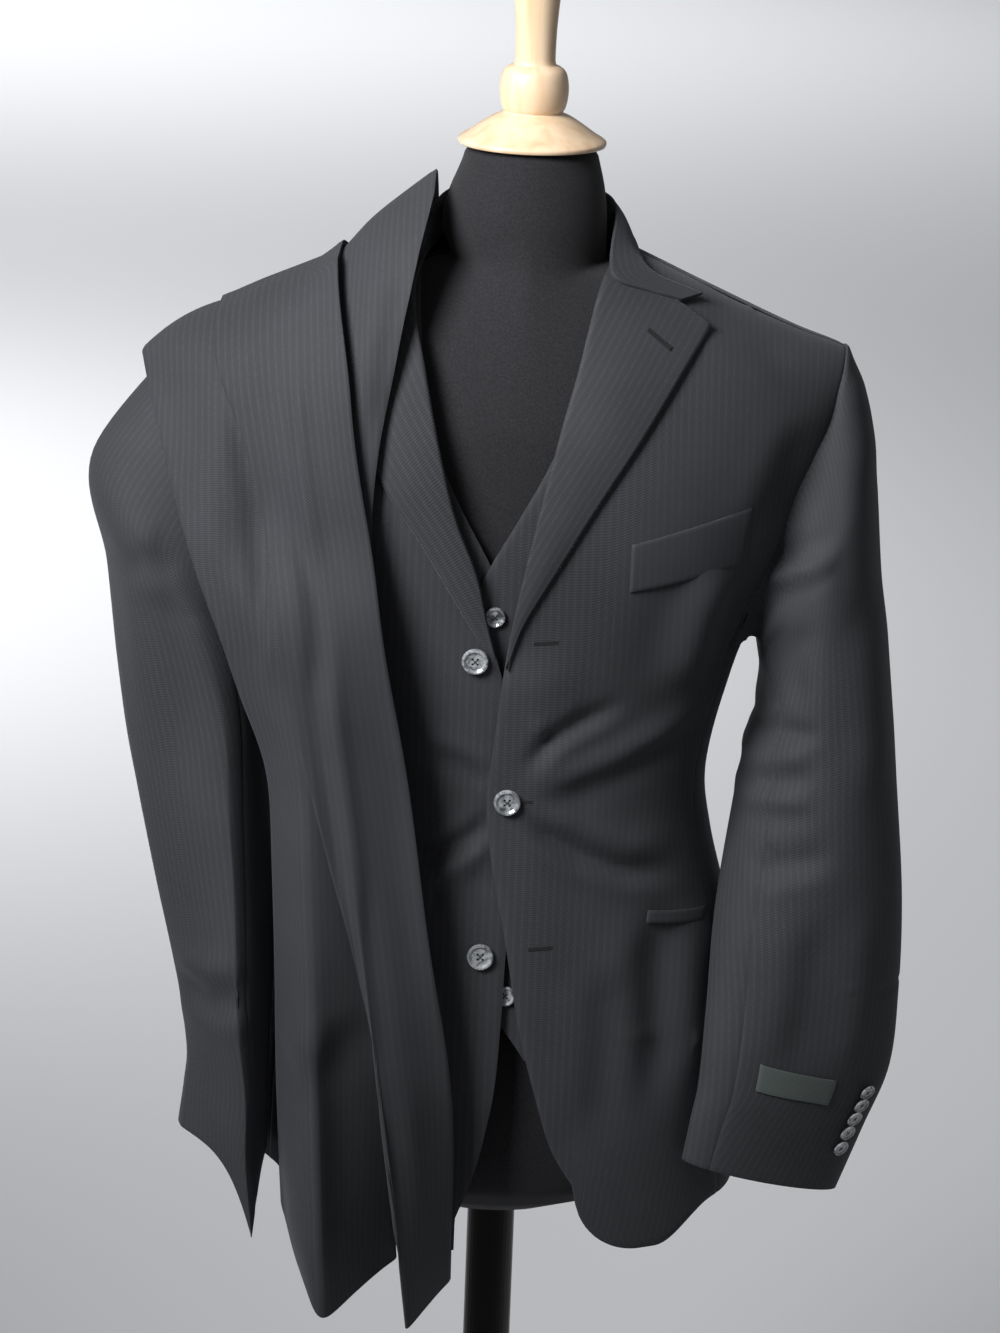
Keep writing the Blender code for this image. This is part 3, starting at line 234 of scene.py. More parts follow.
BEECH, PAINT = beech(), paint()
print("finishes made:", BEECH.name, "and", PAINT.name)

# %% [markdown]
# ## Horn, label tape and thread
# The buttons are smoked horn, which is cloudy inside and polished outside, so a slow noise
# runs through four greys under a clear coat. The cuff label is bare woven tape with a rib
# every 1.4 mm. The thread is silk: it is darker than the cloth and shines a little along
# its ply.

# %% Trimmings
TAPE_RIB = 0.0014        # distance between the label's ribs


def horn():
    """Polished horn: cloudy greys under a hard clear shine."""
    made, tree, shader = finish_of("smoked horn", Roughness=0.22, IOR=1.54)
    shader.inputs["Coat Weight"].default_value = 0.8
    shader.inputs["Coat Roughness"].default_value = 0.08
    place = node(tree, "TexCoord").outputs["Object"]
    cloud = node(tree, "TexNoise", {"Vector": place}, Scale=110.0, Detail=4.0, Distortion=1.6)
    colour = node(tree, "ValToRGB", {"Fac": cloud.outputs["Fac"]},
                  stops=((0.30, "#3d3f42"), (0.45, "#75787c"), (0.58, "#a4a7aa"),
                         (0.75, "#5d6064")))
    tree.links.new(colour.outputs["Color"], shader.inputs["Base Color"])
    return made


def tape():
    """Woven tape: a tight greenish-grey rib that looks smoother than the wool."""
    made, tree, shader = finish_of("plain woven label tape", Roughness=0.7)
    cut = node(tree, "TexCoord").outputs["UV"]
    weave = node(tree, "TexWave", {"Vector": cut}, wave_type="BANDS", bands_direction="Y",
                 Scale=WAVE_PERIOD / TAPE_RIB, Distortion=0.8)
    colour = node(tree, "ValToRGB", {"Fac": weave.outputs["Fac"]},
                  stops=((0.2, "#3b4241"), (0.8, "#525b58")))
    tree.links.new(colour.outputs["Color"], shader.inputs["Base Color"])
    bump = node(tree, "Bump", {"Height": weave.outputs["Fac"]}, Strength=0.3, Distance=0.0002)
    tree.links.new(bump.outputs[0], shader.inputs["Normal"])
    shader.inputs["Sheen Weight"].default_value = 0.1
    return made


def thread():
    """Silk thread: dark, with a slight gleam."""
    made, tree, shader = finish_of("grey silk thread", Roughness=0.5)
    place = node(tree, "TexCoord").outputs["Object"]
    ply = node(tree, "TexNoise", {"Vector": place}, Scale=900.0)
    colour = node(tree, "ValToRGB", {"Fac": ply.outputs["Fac"]},
                  stops=((0.3, "#121314"), (0.7, "#1d1e20")))
    tree.links.new(colour.outputs["Color"], shader.inputs["Base Color"])
    shader.inputs["Sheen Weight"].default_value = 0.2
    return made


HORN, TAPE, THREAD = horn(), tape(), thread()
print("finishes made:", HORN.name, "and", TAPE.name, "and", THREAD.name)

# %% [markdown]
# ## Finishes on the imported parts
# The parts that keep their own mesh only change the material in their slot. Their texture
# reads Object coordinates, which are metres in the suit's frame, so grain and clouds have
# the same real size on each of them.

# %% Give the parts their finishes
for name, finish in (("form_torso", JERSEY), ("neck_block", BEECH), ("pole", PAINT),
                     ("pole_sleeve", PAINT), ("base", PAINT)):
    nodes[name].material_slots[0].material = finish
buttons = [name for name in nodes if "button" in name]
for name in buttons:
    nodes[name].material_slots[0].material = HORN
print("buttons finished:", len(buttons))

# %% [markdown]
# ## The body's sizes
# A tailor drafts a suit from a few measures of the body: its width and depth at each
# height, the slope of the shoulders, the armhole and the front edge. They are kept here as
# short tables in metres, height above the floor first. The wearer's left is +X, and the
# suit faces -Y.

# %% Body sizes
CLOTH = 0.0012           # one layer of worsted
FRONT_WALL = 0.0018      # jacket front: worsted and canvas
LAPEL_WALL = 0.0022      # lapel and collar: two layers of worsted
SEAM = 0.0003            # gap between sewn pieces
LAP_LIFT = 0.0042        # the left front rides this far out where it laps the right
WAISTCOAT_IN = 0.0094    # waistcoat's outside lies this far inside the jacket's
PANEL_SHAPE = 2.4        # exponent of the rounded plan section of the body
SHOULDER_ROUND = 0.17    # height over which chest and back round in to the shoulder
BODY = (
    # height, half width, front depth, back depth of the jacket's outside
    (0.72, 0.188, 0.128, 0.116),
    (0.84, 0.184, 0.126, 0.116),
    (0.95, 0.177, 0.119, 0.109),
    (1.03, 0.157, 0.113, 0.098),
    (1.08, 0.150, 0.112, 0.094),
    (1.14, 0.160, 0.117, 0.100),
    (1.19, 0.176, 0.123, 0.108),
    (1.25, 0.197, 0.129, 0.118),
    (1.31, 0.222, 0.131, 0.124),
    (1.37, 0.246, 0.126, 0.124),
    (1.43, 0.264, 0.118, 0.116),
    (1.52, 0.266, 0.100, 0.100),
)
# Shoulder line of the jacket: distance from the middle, height.
RIDGE = ((0.00, 1.507), (0.066, 1.481), (0.13, 1.4525), (0.20, 1.4225), (0.2375, 1.4095),
         (0.26, 1.397), (0.30, 1.365))
ARM_LEVEL = 1.19         # bottom of the jacket's armholes
SIDE_FRONT = 66.0        # seam angles round the body, 0 at the front, 90 at the side
SIDE_BACK = 114.0
NECK_POINT = 0.066       # half width of the neck at the shoulder seam
BACK_NECK = 0.030        # how deep the back neckline dips below that
NAPE = 0.064             # depth of the jacket behind the neck
# Jacket armhole: height, distance out.
ARMHOLE = (
    (1.190, 0.163), (1.212, 0.171), (1.250, 0.184), (1.302, 0.203), (1.350, 0.221),
    (1.386, 0.2325), (1.4095, 0.2375),
)
# Front edges and, above the break at 1.18, the roll lines: height, distance to +X.
EDGE_LEFT = (
    (0.753, 0.066), (0.796, 0.044), (0.844, 0.030), (0.90, 0.016), (0.972, 0.003),
    (1.044, -0.011), (1.09, -0.014), (1.147, -0.009), (1.18, -0.006), (1.217, -0.001),
    (1.257, 0.006), (1.302, 0.015), (1.366, 0.029), (1.404, 0.039), (1.442, 0.048),
    (1.464, 0.055), (1.481, 0.066),
)
EDGE_RIGHT = (
    (0.753, -0.028), (0.79, -0.015), (0.821, -0.008), (0.857, -0.002), (0.909, 0.001),
    (0.968, 0.003), (1.03, 0.008), (1.09, 0.012), (1.14, 0.006), (1.18, -0.008),
    (1.223, -0.020), (1.257, -0.028), (1.30, -0.045), (1.344, -0.057), (1.40, -0.070),
    (1.454, -0.081), (1.481, -0.072),
)
HEM = 0.728              # jacket hem at its lowest, in front
HEM_SIDE = {1: 0.754, -1: 0.770}     # and at each side seam
HEM_BACK = 0.756         # and at the centre back seam
HEM_CURVE = 0.050        # radius of the rounded front corner
HEM_CORNER = 0.112       # where that round meets the hem
HEM_RISE = (0.125, 0.045)            # the hem rises to the side from here, over this distance
print("jacket from hem to nape:", round(RIDGE[0][1] - BACK_NECK - HEM_BACK, 3), "m")

# %% [markdown]
# ## The body's skin
# All layers hang on one body. It is a rounded plan section that changes with height, under
# a shoulder line. It could be a sculpted mesh that the cloth is shrunk onto. A function of
# angle and height is better here: each layer asks for the same body, moved out or in by
# its own distance, so the layers keep their order and never meet.


# %% Body skin
def lerp(a, b, t):
    return a + (b - a) * t


def ease(t):
    t = min(1.0, max(0.0, t))
    return t * t * (3.0 - 2.0 * t)


def table(rows, at, column):
    """Smooth value of one column of a table whose first column is increasing."""
    if at <= rows[0][0]:
        return rows[0][column]
    if at >= rows[-1][0]:
        return rows[-1][column]
    i = next(k for k in range(len(rows) - 1) if at <= rows[k + 1][0])
    low, high = rows[i], rows[i + 1]
    gap = high[0] - low[0]
    t = (at - low[0]) / gap
    slope_low = slope_high = (high[column] - low[column]) / gap
    if i > 0:
        slope_low = (high[column] - rows[i - 1][column]) / (high[0] - rows[i - 1][0])
    if i + 2 < len(rows):
        slope_high = (rows[i + 2][column] - low[column]) / (rows[i + 2][0] - low[0])
    return ((2 * t ** 3 - 3 * t ** 2 + 1) * low[column]
            + (t ** 3 - 2 * t ** 2 + t) * gap * slope_low
            + (3 * t ** 2 - 2 * t ** 3) * high[column]
            + (t ** 3 - t ** 2) * gap * slope_high)


def ridge(x, off=0.0):
    return table(RIDGE, abs(x), 1) + off


def shoulder_round(drop):
    """How full the chest or back is, this far below the shoulder line."""
    s = min(1.0, max(0.0, drop / SHOULDER_ROUND))
    return (1.0 - (1.0 - s) ** PANEL_SHAPE) ** (1.0 / PANEL_SHAPE)


def skin(angle, z, off=0.0):
    """Point on the body: angle in degrees from the front, height, distance outside it."""
    half = table(BODY, z, 1) + off
    turn = math.radians(angle)
    x = half * math.copysign(abs(math.sin(turn)) ** (2 / PANEL_SHAPE), math.sin(turn))
    return Vector((x, face(x, z, off, back=math.cos(turn) < 0), z))


def trunk(x, z, off=0.0, back=False):
    """Depth of the front, or of the back, at a place on the trunk."""
    half = table(BODY, z, 1) + off
    depth = table(BODY, z, 3 if back else 2) + off
    across = max(0.0, 1.0 - abs(x / half) ** PANEL_SHAPE) ** (1 / PANEL_SHAPE)
    y = depth * across * shoulder_round(ridge(x, off) - z)
    return y if back else -y


def face(x, z, off=0.0, back=False):
    """The same, with the cloth carried round the back of the neck."""
    y = trunk(x, z, off, back)
    if not back:
        return y
    nape = (NAPE + off) * math.sqrt(max(0.0, 1.0 - (x / (NECK_POINT + off)) ** 2))
    return max(y, nape * ease((z - 1.42) / 0.05))


def angle_of(x, z, off=0.0):
    """Angle from the middle at which the body's front has this distance to +X."""
    half = table(BODY, z, 1) + off
    return math.degrees(math.copysign(math.asin(min(1.0, abs(x / half)) ** (PANEL_SHAPE / 2)), x))


print("front of the waist:", [round(part, 3) for part in skin(0.0, 1.08)])

# %% [markdown]
# ## Folds
# Cloth that is pulled at a button or crushed in an elbow makes folds: soft ridges, each
# with a shallower trough beside it. They could come from a cloth simulation, but then they
# would fall anywhere. Here each fold is laid one by one, as its width, its rise and the
# points it runs through, and it fades out at both ends.

# %% Folds
TROUGH = 0.45            # depth of the trough beside a fold, as a share of the fold's rise
TROUGH_ASIDE = 1.5       # how far aside the trough lies, in widths of the fold
FADE = 3.2               # a fold reaches its full rise after 1/3.2 of its length


def bell(t):
    """One in the middle, falling softly to nothing."""
    return np.exp(-np.square(t))


def press(net, folds):
    """How far folds lift a net: each is its width, its rise and the points it runs through."""
    lift = np.zeros(net.shape[:2])
    x, z = net[..., 0], net[..., 2]
    for width, rise, *points in folds:
        best = np.full(x.shape, 9.0)
        amount = np.zeros(x.shape)
        for k, ((x0, z0), (x1, z1)) in enumerate(zip(points, points[1:])):
            dx, dz = x1 - x0, z1 - z0
            length = math.hypot(dx, dz)
            s = ((x - x0) * dx + (z - z0) * dz) / length ** 2
            near = np.clip(s, 0.0, 1.0)
            aside = ((x - x0) * dz - (z - z0) * dx) / length
            away = np.hypot(x - x0 - near * dx, z - z0 - near * dz)
            whole = (k + near) / (len(points) - 1)
            fade = np.clip(np.minimum(whole, 1.0 - whole) * FADE, 0.0, 1.0)
            fade = fade * fade * (3.0 - 2.0 * fade)
            over = np.where(np.abs(s - near) * length > 0.0, away, aside)
            shape = bell(over / width) - TROUGH * bell((over - TROUGH_ASIDE * width) / width)
            closer = away < best
            amount = np.where(closer, rise * fade * shape, amount)
            best = np.minimum(best, away)
        lift += amount
    return lift


def soften(net, rounds, below=9.0):
    """Let a net's hard bends relax, under this height."""
    for _ in range(rounds):
        eased = net.copy()
        eased[1:-1] = (net[:-2] + 2.0 * net[1:-1] + net[2:]) / 4.0
        eased[:, 1:-1] = (eased[:, :-2] + 2.0 * eased[:, 1:-1] + eased[:, 2:]) / 4.0
        share = np.clip((below - net[..., 2:]) / 0.06, 0.0, 1.0)
        net = net + (eased - net) * share
    return net


def unit(net):
    return net / np.maximum(np.linalg.norm(net, axis=-1, keepdims=True), 1e-9)


print("rise in the middle of a fold:", round(float(bell(0.0) - TROUGH * bell(-TROUGH_ASIDE)), 3))

# %% [markdown]
# ## From a pattern piece to cloth
# A tailor's piece is flat, and gets its shape on the body. Here a grid of even steps is
# laid on the piece's place, its folds are pressed in along its normals, and then Solidify
# gives it its wall. The UV map is the flat cut: how far the threads run across and along.
# Along each seam the cloth dips a little and runs on under its neighbour, as a pressed
# seam does, so no light shows through. Weighted normals keep the thin rim from catching
# light that the cloth beside it doesn't.

# %% Cloth maker
SEAM_RUN = 0.0005        # every edge runs this far on past its seam
SEAM_SINK = 0.0004       # and side edges dip by this much


def add_piece(name, shape, finish, smooth=True):
    """Turn a finished bmesh into an object with one material."""
    mesh = bpy.data.meshes.new(name)
    shape.to_mesh(mesh)
    shape.free()
    if smooth:
        mesh.shade_smooth()
    mesh.materials.append(finish)
    made = bpy.data.objects.new(name, mesh)
    bpy.context.scene.collection.objects.link(made)
    return made


def seam_edges(net, normal):
    """Run every edge on, so no light shows in a seam, and sink the side edges."""
    wide = net.copy()
    wide[:, 0] += unit(net[:, 0] - net[:, 1]) * SEAM_RUN - normal[:, 0] * SEAM_SINK
    wide[:, -1] += unit(net[:, -1] - net[:, -2]) * SEAM_RUN - normal[:, -1] * SEAM_SINK
    wide[0] += unit(net[0] - net[1]) * SEAM_RUN
    wide[-1] += unit(net[-1] - net[-2]) * SEAM_RUN
    return wide


def net_grid(net, cut_u, cut_v):
    """A grid with its points on the net and its UV map on the flat cut."""
    along, across = net.shape[0] - 1, net.shape[1] - 1
    grid = bmesh.new()
    bmesh.ops.create_grid(grid, x_segments=across, y_segments=along, size=1.0)
    uv = grid.loops.layers.uv.new("cut")
    spots = {}
    for vert in grid.verts:
        i = round((vert.co.x + 1.0) / 2.0 * across)
        j = round((vert.co.y + 1.0) / 2.0 * along)
        spots[vert] = (i, j)
        vert.co = Vector(net[j, i])
    for cell in grid.faces:
        for corner in cell.loops:
            i, j = spots[corner.vert]
            corner[uv].uv = (cut_u[j, i], cut_v[j, i])
    return grid


def panel(name, across, along, place, wall, folds=(), node_name=None, finish=WORSTED,
          grain=0.5, fixed=False,
          lift=None, shape=None):
    """Weave one piece of cloth: a net, its folds, its flat cut and its wall."""
    net = np.array([[tuple(place(i / across, j / along)) for i in range(across + 1)]
                    for j in range(along + 1)])
    if shape:
        net = shape(net)
    normal = unit(np.cross(np.gradient(net, axis=1), np.gradient(net, axis=0)))
    raised = press(net, folds) + (lift(net) if lift else 0.0)
    net = seam_edges(net + normal * np.asarray(raised)[..., None], normal)
    step_u = np.linalg.norm(np.diff(net, axis=1), axis=2)
    step_v = np.linalg.norm(np.diff(net, axis=0), axis=2)
    arc_u = np.concatenate([np.zeros((along + 1, 1)), np.cumsum(step_u, axis=1)], axis=1)
    arc_v = np.concatenate([np.zeros((1, across + 1)), np.cumsum(step_v, axis=0)], axis=0)
    column = round(grain * across)
    cut_u = arc_u - arc_u[:, column:column + 1]
    if fixed:
        cut_u = cut_u + net[:, column:column + 1, 0]
    piece = add_piece(name, net_grid(net, cut_u, arc_v), finish)
    thick = piece.modifiers.new("wall", "SOLIDIFY")
    thick.thickness, thick.offset = wall, -1.0
    thick.use_even_offset = False
    piece.modifiers.new("edges lit as the cloth beside them", "WEIGHTED_NORMAL").weight = 90
    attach(piece, "root")
    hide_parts(node_name or name)
    return piece


print("edges run on by", SEAM_RUN * 1000, "mm and dip by", SEAM_SINK * 1000, "mm")

# %% [markdown]
# ## Jacket edges
# The fronts of a jacket are cut away in a round at the hem, and the hem rises a little to
# the side seams. The left front laps the right one by the width of the buttons. These
# lines are worked out first, because the panels, the lapels and the sleeves all share
# them, and pieces that share a line meet without a gap.

# %% Jacket edges
LOWER_ROWS = 9           # rows of the panels below the armhole, then above it
UPPER_ROWS = 8
LOWER_SHARE = LOWER_ROWS / (LOWER_ROWS + UPPER_ROWS)
SEAM_ANGLE = 0.14        # half a seam's gap, in degrees round the body
EDGE_FOOT = 0.753        # lowest height that the front edges are given for
RIGHT_CORNER_IN = 0.094  # the right front's round meets the hem this far nearer the middle
NEAR_RIDGE = 0.004       # a front this close to the shoulder seam keeps to its own side


def hem_height(x, side):
    """Height of the front's hem: its rounded open corner, then up to the side seam."""
    corner = HEM_CORNER if side > 0 else HEM_CORNER - RIGHT_CORNER_IN
    inside = min(HEM_CURVE, max(0.0, corner - x * side))
    start, length = HEM_RISE
    rise = (HEM_SIDE[side] - HEM) * ease((x * side - start) / length)
    return HEM + HEM_CURVE - math.sqrt(HEM_CURVE ** 2 - inside ** 2) + rise


def edge_x(z, side):
    return table(EDGE_LEFT if side > 0 else EDGE_RIGHT, z, 1)


def lap(x, z):
    """How far the left front is lifted off the right one that it laps."""
    return LAP_LIFT * ease((0.060 - x) / 0.045) * ease((1.205 - z) / 0.035)


def armhole(rise):
    """Armhole place at this share of the way up, rows closing up at the shoulder."""
    top = ARMHOLE[-1][0]
    z = top - (top - ARM_LEVEL) * (1.0 - rise) ** 2
    return table(ARMHOLE, z, 1), z


print("hem's round at the left front's edge:", round(hem_height(edge_x(EDGE_FOOT, 1), 1), 3), "m")

# %% [markdown]
# ## Jacket panels
# A jacket's body is six panels: two fronts, two sides and two backs. A loft through rings
# would make one closed tube, without the seams that a tailor sews. So each panel gets its
# own map from the unit square to the body: u runs from seam to seam and v from the hem up,
# and above the armhole the rows close up on the shoulder line.


# %% Front panels
def front_place(side):
    side_angle = side * (SIDE_FRONT - SEAM_ANGLE)
    bottom = hem_height(edge_x(EDGE_FOOT, side), side)

    def place(u, v):
        if side < 0:
            u = 1.0 - u
        if v <= LOWER_SHARE:
            rise = v / LOWER_SHARE
            edge_z = lerp(bottom, ARM_LEVEL, rise)
            side_z = lerp(HEM_SIDE[side], ARM_LEVEL, rise)
            angle = lerp(angle_of(edge_x(edge_z, side), edge_z), side_angle, u)
            z = lerp(edge_z, side_z, u)
            wanted = hem_height(skin(angle, z).x, side)
            z += (wanted - lerp(bottom, HEM_SIDE[side], u)) * (1.0 - rise) ** 3
            point = skin(angle, z)
        else:
            rise = (v - LOWER_SHARE) / (1.0 - LOWER_SHARE)
            edge_z = ridge(NECK_POINT) - (ridge(NECK_POINT) - ARM_LEVEL) * (1.0 - rise) ** 2
            edge = edge_x(edge_z, side)
            out, side_z = armhole(rise)
            out = side * (out - SEAM)
            start, end = angle_of(edge, edge_z), angle_of(out, side_z)
            drop = lerp(ridge(edge) - edge_z, ridge(out) - side_z, u)
            angle, z = lerp(start, end, u), lerp(edge_z, side_z, u)
            level = z
            for _ in range(4):
                z = lerp(level, ridge(skin(angle, z).x) - drop, ease(rise * 2))
            x = skin(angle, z).x
            point = Vector((x, face(x, z), z))
        if side > 0:
            point.y = face(point.x, point.z, lap(point.x, point.z))
        if point.z > ARM_LEVEL and abs(point.y) < NEAR_RIDGE:
            point.y = min(point.y, -SEAM)
        return point

    return place


print("front panel's hem corner:", [round(c, 3) for c in front_place(1)(0.0, 0.0)])


# %% Back and side panels
def back_place(side):
    side_angle = SIDE_BACK + SEAM_ANGLE
    middle_angle = 180.0 - SEAM_ANGLE

    def place(u, v):
        if side < 0:
            u = 1.0 - u
        if v <= LOWER_SHARE:
            z = lerp(lerp(HEM_SIDE[side], HEM_BACK, u), ARM_LEVEL, v / LOWER_SHARE)
            point = skin(lerp(side_angle, middle_angle, u), z)
        else:
            rise = (v - LOWER_SHARE) / (1.0 - LOWER_SHARE)
            out, side_z = armhole(rise)
            half = table(BODY, side_z, 1)
            start = 180.0 - math.degrees(math.asin(((out - SEAM) / half) ** (PANEL_SHAPE / 2)))
            angle = math.radians(lerp(start, middle_angle, u))
            low = half * math.sin(angle) ** (2 / PANEL_SHAPE)
            neck_u = 2.0 / 3.0
            if u < neck_u:
                top = lerp(out - SEAM, NECK_POINT, u / neck_u)
            else:
                top = lerp(NECK_POINT, 0.0006, (u - neck_u) / (1.0 - neck_u))
            x = lerp(low, top, ease(rise * 1.4))
            centre_z = lerp(ridge(0.0) - BACK_NECK, ARM_LEVEL, (1.0 - rise) ** 2)
            drop = lerp(ridge(out) - side_z, (ridge(0.0) - BACK_NECK) - centre_z, u)
            scoop = BACK_NECK * (1.0 - min(1.0, x / NECK_POINT) ** 2)
            z = lerp(lerp(side_z, centre_z, u), ridge(x) - scoop - drop, ease(rise * 2))
            point = Vector((x, face(x, z, back=True), z))
        point.y = max(point.y, SEAM) if point.z > ARM_LEVEL else point.y
        point.x *= side
        return point

    return place


def side_place(side):
    def place(u, v):
        if side < 0:
            u = 1.0 - u
        angle = lerp(SIDE_FRONT + SEAM_ANGLE, SIDE_BACK - SEAM_ANGLE, u)
        point = skin(angle, lerp(HEM_SIDE[side], ARM_LEVEL, v))
        point.x *= side
        return point

    return place


print("back panel's foot at the seam:", [round(c, 3) for c in back_place(1)(1.0, 0.0)])

# %% [markdown]
# ## Jacket folds
# The jacket hangs from its shoulders and is held at the middle button alone. So folds run
# out from that button like a star, long soft ones fall to the hem, and short ones crowd
# in front of the armhole. The sides carry on the folds of the fronts. On the back they run
# across the hollow of the waist and down over the seat.

# %% Jacket folds
FRONT_FOLDS = {
    # width, rise, then the points it runs through: distance to +X, height
    "left": (
        (0.0070, -0.0053, (0.006, 1.101), (0.030, 1.131), (0.053, 1.146), (0.090, 1.163)),
        (0.0110, 0.0053, (0.008, 1.090), (0.042, 1.104), (0.075, 1.117), (0.114, 1.136),
         (0.150, 1.158)),
        (0.0080, -0.0056, (0.008, 1.077), (0.030, 1.058), (0.056, 1.040), (0.092, 1.026),
         (0.140, 1.022)),
        (0.0120, 0.0047, (0.012, 1.083), (0.046, 1.066), (0.088, 1.046), (0.135, 1.040)),
        (0.0160, -0.0050, (0.122, 1.012), (0.115, 0.955), (0.119, 0.890), (0.116, 0.820)),
        (0.0140, 0.0040, (0.142, 1.000), (0.143, 0.914), (0.149, 0.840)),
        (0.0170, -0.0040, (0.080, 0.960), (0.084, 0.900), (0.078, 0.800)),
        (0.0170, -0.0053, (0.178, 1.262), (0.160, 1.215), (0.146, 1.150)),
        (0.0190, 0.0047, (0.150, 1.270), (0.136, 1.215), (0.128, 1.160)),
        (0.0160, -0.0034, (0.212, 1.372), (0.196, 1.320), (0.180, 1.280)),
        (0.0100, -0.0025, (0.120, 1.445), (0.160, 1.428), (0.205, 1.402)),
    ),
    "right": (
        (0.0070, -0.0053, (-0.008, 1.075), (-0.026, 1.052), (-0.050, 1.039), (-0.085, 1.032)),
        (0.0100, 0.0047, (-0.010, 1.064), (-0.030, 1.034), (-0.056, 1.020), (-0.090, 1.014)),
        (0.0080, -0.0034, (-0.010, 1.094), (-0.034, 1.108), (-0.070, 1.120)),
        (0.0150, -0.0040, (-0.060, 0.980), (-0.066, 0.900), (-0.062, 0.820)),
        (0.0150, 0.0034, (-0.120, 1.010), (-0.128, 0.900), (-0.122, 0.800)),
    ),
}
BACK_FOLDS = {
    # width, rise, then the points it runs through: distance to +X, height
    "left": (
        (0.0170, -0.0052, (0.176, 1.300), (0.158, 1.230), (0.146, 1.150)),
        (0.0180, 0.0042, (0.146, 1.320), (0.130, 1.240), (0.118, 1.160)),
        (0.0130, 0.0039, (0.020, 1.110), (0.070, 1.104), (0.126, 1.118)),
        (0.0140, -0.0039, (0.016, 1.070), (0.072, 1.062), (0.130, 1.074)),
        (0.0200, 0.0044, (0.060, 1.020), (0.070, 0.900), (0.078, 0.790)),
        (0.0200, -0.0039, (0.104, 1.010), (0.112, 0.900), (0.108, 0.800)),
        (0.0140, -0.0029, (0.060, 1.452), (0.104, 1.420), (0.140, 1.396)),
    ),
    "right": (
        (0.0170, -0.0052, (-0.172, 1.290), (-0.156, 1.220), (-0.145, 1.150)),
        (0.0160, 0.0039, (-0.138, 1.160), (-0.122, 1.120), (-0.060, 1.106)),
        (0.0130, -0.0042, (-0.134, 1.084), (-0.076, 1.074), (-0.020, 1.082)),
        (0.0200, 0.0042, (-0.072, 1.010), (-0.066, 0.900), (-0.074, 0.780)),
        (0.0210, -0.0039, (-0.118, 1.020), (-0.110, 0.890), (-0.116, 0.790)),
    ),
}
print("folds in front:", sum(map(len, FRONT_FOLDS.values())), "behind:",
      sum(map(len, BACK_FOLDS.values())))

# %% Weave the jacket's body
for side, word in ((1, "left"), (-1, "right")):
    panel("cloth_jacket_front_" + word, 56, 136, front_place(side), FRONT_WALL, FRONT_FOLDS[word],
          "jacket_front_" + word, grain=0.0 if side > 0 else 1.0, fixed=True)
    panel("cloth_jacket_side_" + word, 24, 72, side_place(side), CLOTH, FRONT_FOLDS[word],
          "jacket_side_" + word)
    panel("cloth_jacket_back_" + word, 40, 136, back_place(side), CLOTH, BACK_FOLDS[word],
          "jacket_back_" + word, grain=1.0 if side > 0 else 0.0, fixed=True)
print("jacket body woven")

# %% [markdown]
# ## Lapels
# A lapel is the front edge turned back. It could be bent out of the front panel, but a
# tailor sews a facing there, so it is its own piece. It stands out in a soft roll along
# its fold, lies flat at its tip, and its top runs on under the collar.

# %% Lapels
# Outer edge of each lapel: share of the way up its roll line, distance to +X, height.
LAPEL_LEFT = (
    (0.00, -0.002, 1.196), (0.10, 0.007, 1.222), (0.25, 0.027, 1.259), (0.45, 0.056, 1.311),
    (0.65, 0.087, 1.361), (0.85, 0.116, 1.408), (1.00, 0.134, 1.434),
)
LAPEL_RIGHT = (
    (0.00, -0.022, 1.204), (0.15, -0.036, 1.226), (0.35, -0.066, 1.275), (0.55, -0.095, 1.317),
    (0.75, -0.121, 1.362), (1.00, -0.147, 1.424),
)
LAPEL_OFF = 0.0037       # lapel's outside over the front's, at its edges
LAPEL_ROLL = 0.0017      # and how much further it stands out in the middle
GORGE_END = 5.0 / 7.0    # how far out along the lapel's top the collar reaches
GORGE_RISE = 0.0065      # how far that point lies above the straight line to the tip
LAPEL_BREAK = {1: 1.188, -1: 1.196}  # height at which each roll line starts
LAPEL_TOP = 1.464        # and where both end


def lapel_place(side):
    rows = LAPEL_LEFT if side > 0 else LAPEL_RIGHT

    def place(u, v):
        if side < 0:
            u = 1.0 - u
        roll_z = lerp(LAPEL_BREAK[side], LAPEL_TOP, v)
        x = lerp(edge_x(roll_z, side), table(rows, v, 1), u)
        bend = u / GORGE_END if u < GORGE_END else (1.0 - u) / (1.0 - GORGE_END)
        z = lerp(roll_z, table(rows, v, 2), u) + GORGE_RISE * bend * v ** 4
        full = ease(v * 3) * (1.0 - 0.6 * ease((v - 0.75) * 4))
        off = LAPEL_OFF + LAPEL_ROLL * math.sin(math.pi * u) * full
        if side > 0:
            off += lap(x, z)
        return Vector((x, face(x, z, off), z))

    return place


def under_collar(side):
    """The lapel's top runs on for 5 mm under the collar, as far as the notch."""
    def shape(net):
        net = net.copy()
        share = np.linspace(0.0, 1.0, net.shape[1])
        share = share if side > 0 else 1.0 - share
        on = np.clip((GORGE_END - 0.02 - share) / 0.04, 0.0, 1.0)[:, None]
        for row, length in ((-1, 0.0050), (-2, 0.0025)):
            net[row] += unit(net[-1] - net[-4]) * length * on + np.array((0.0, 0.0012, 0.0)) * on
        return net

    return shape


for side, word in ((1, "left"), (-1, "right")):
    panel("cloth_lapel_" + word, 30, 90, lapel_place(side), LAPEL_WALL, (), "lapel_" + word,
          grain=1.0 if side > 0 else 0.0,
          shape=under_collar(side))
print("lapels woven")

# %% [markdown]
# ## Collar
# The collar is two pieces: a stand that rises round the neck, and a leaf that folds over
# it and meets the lapels at the notch. The fold and the leaf's edge are two lines through
# space, given at thirteen places from one notch to the other, and the leaf is the cloth
# between them, softened so that it turns the corner beside the neck in one curve.

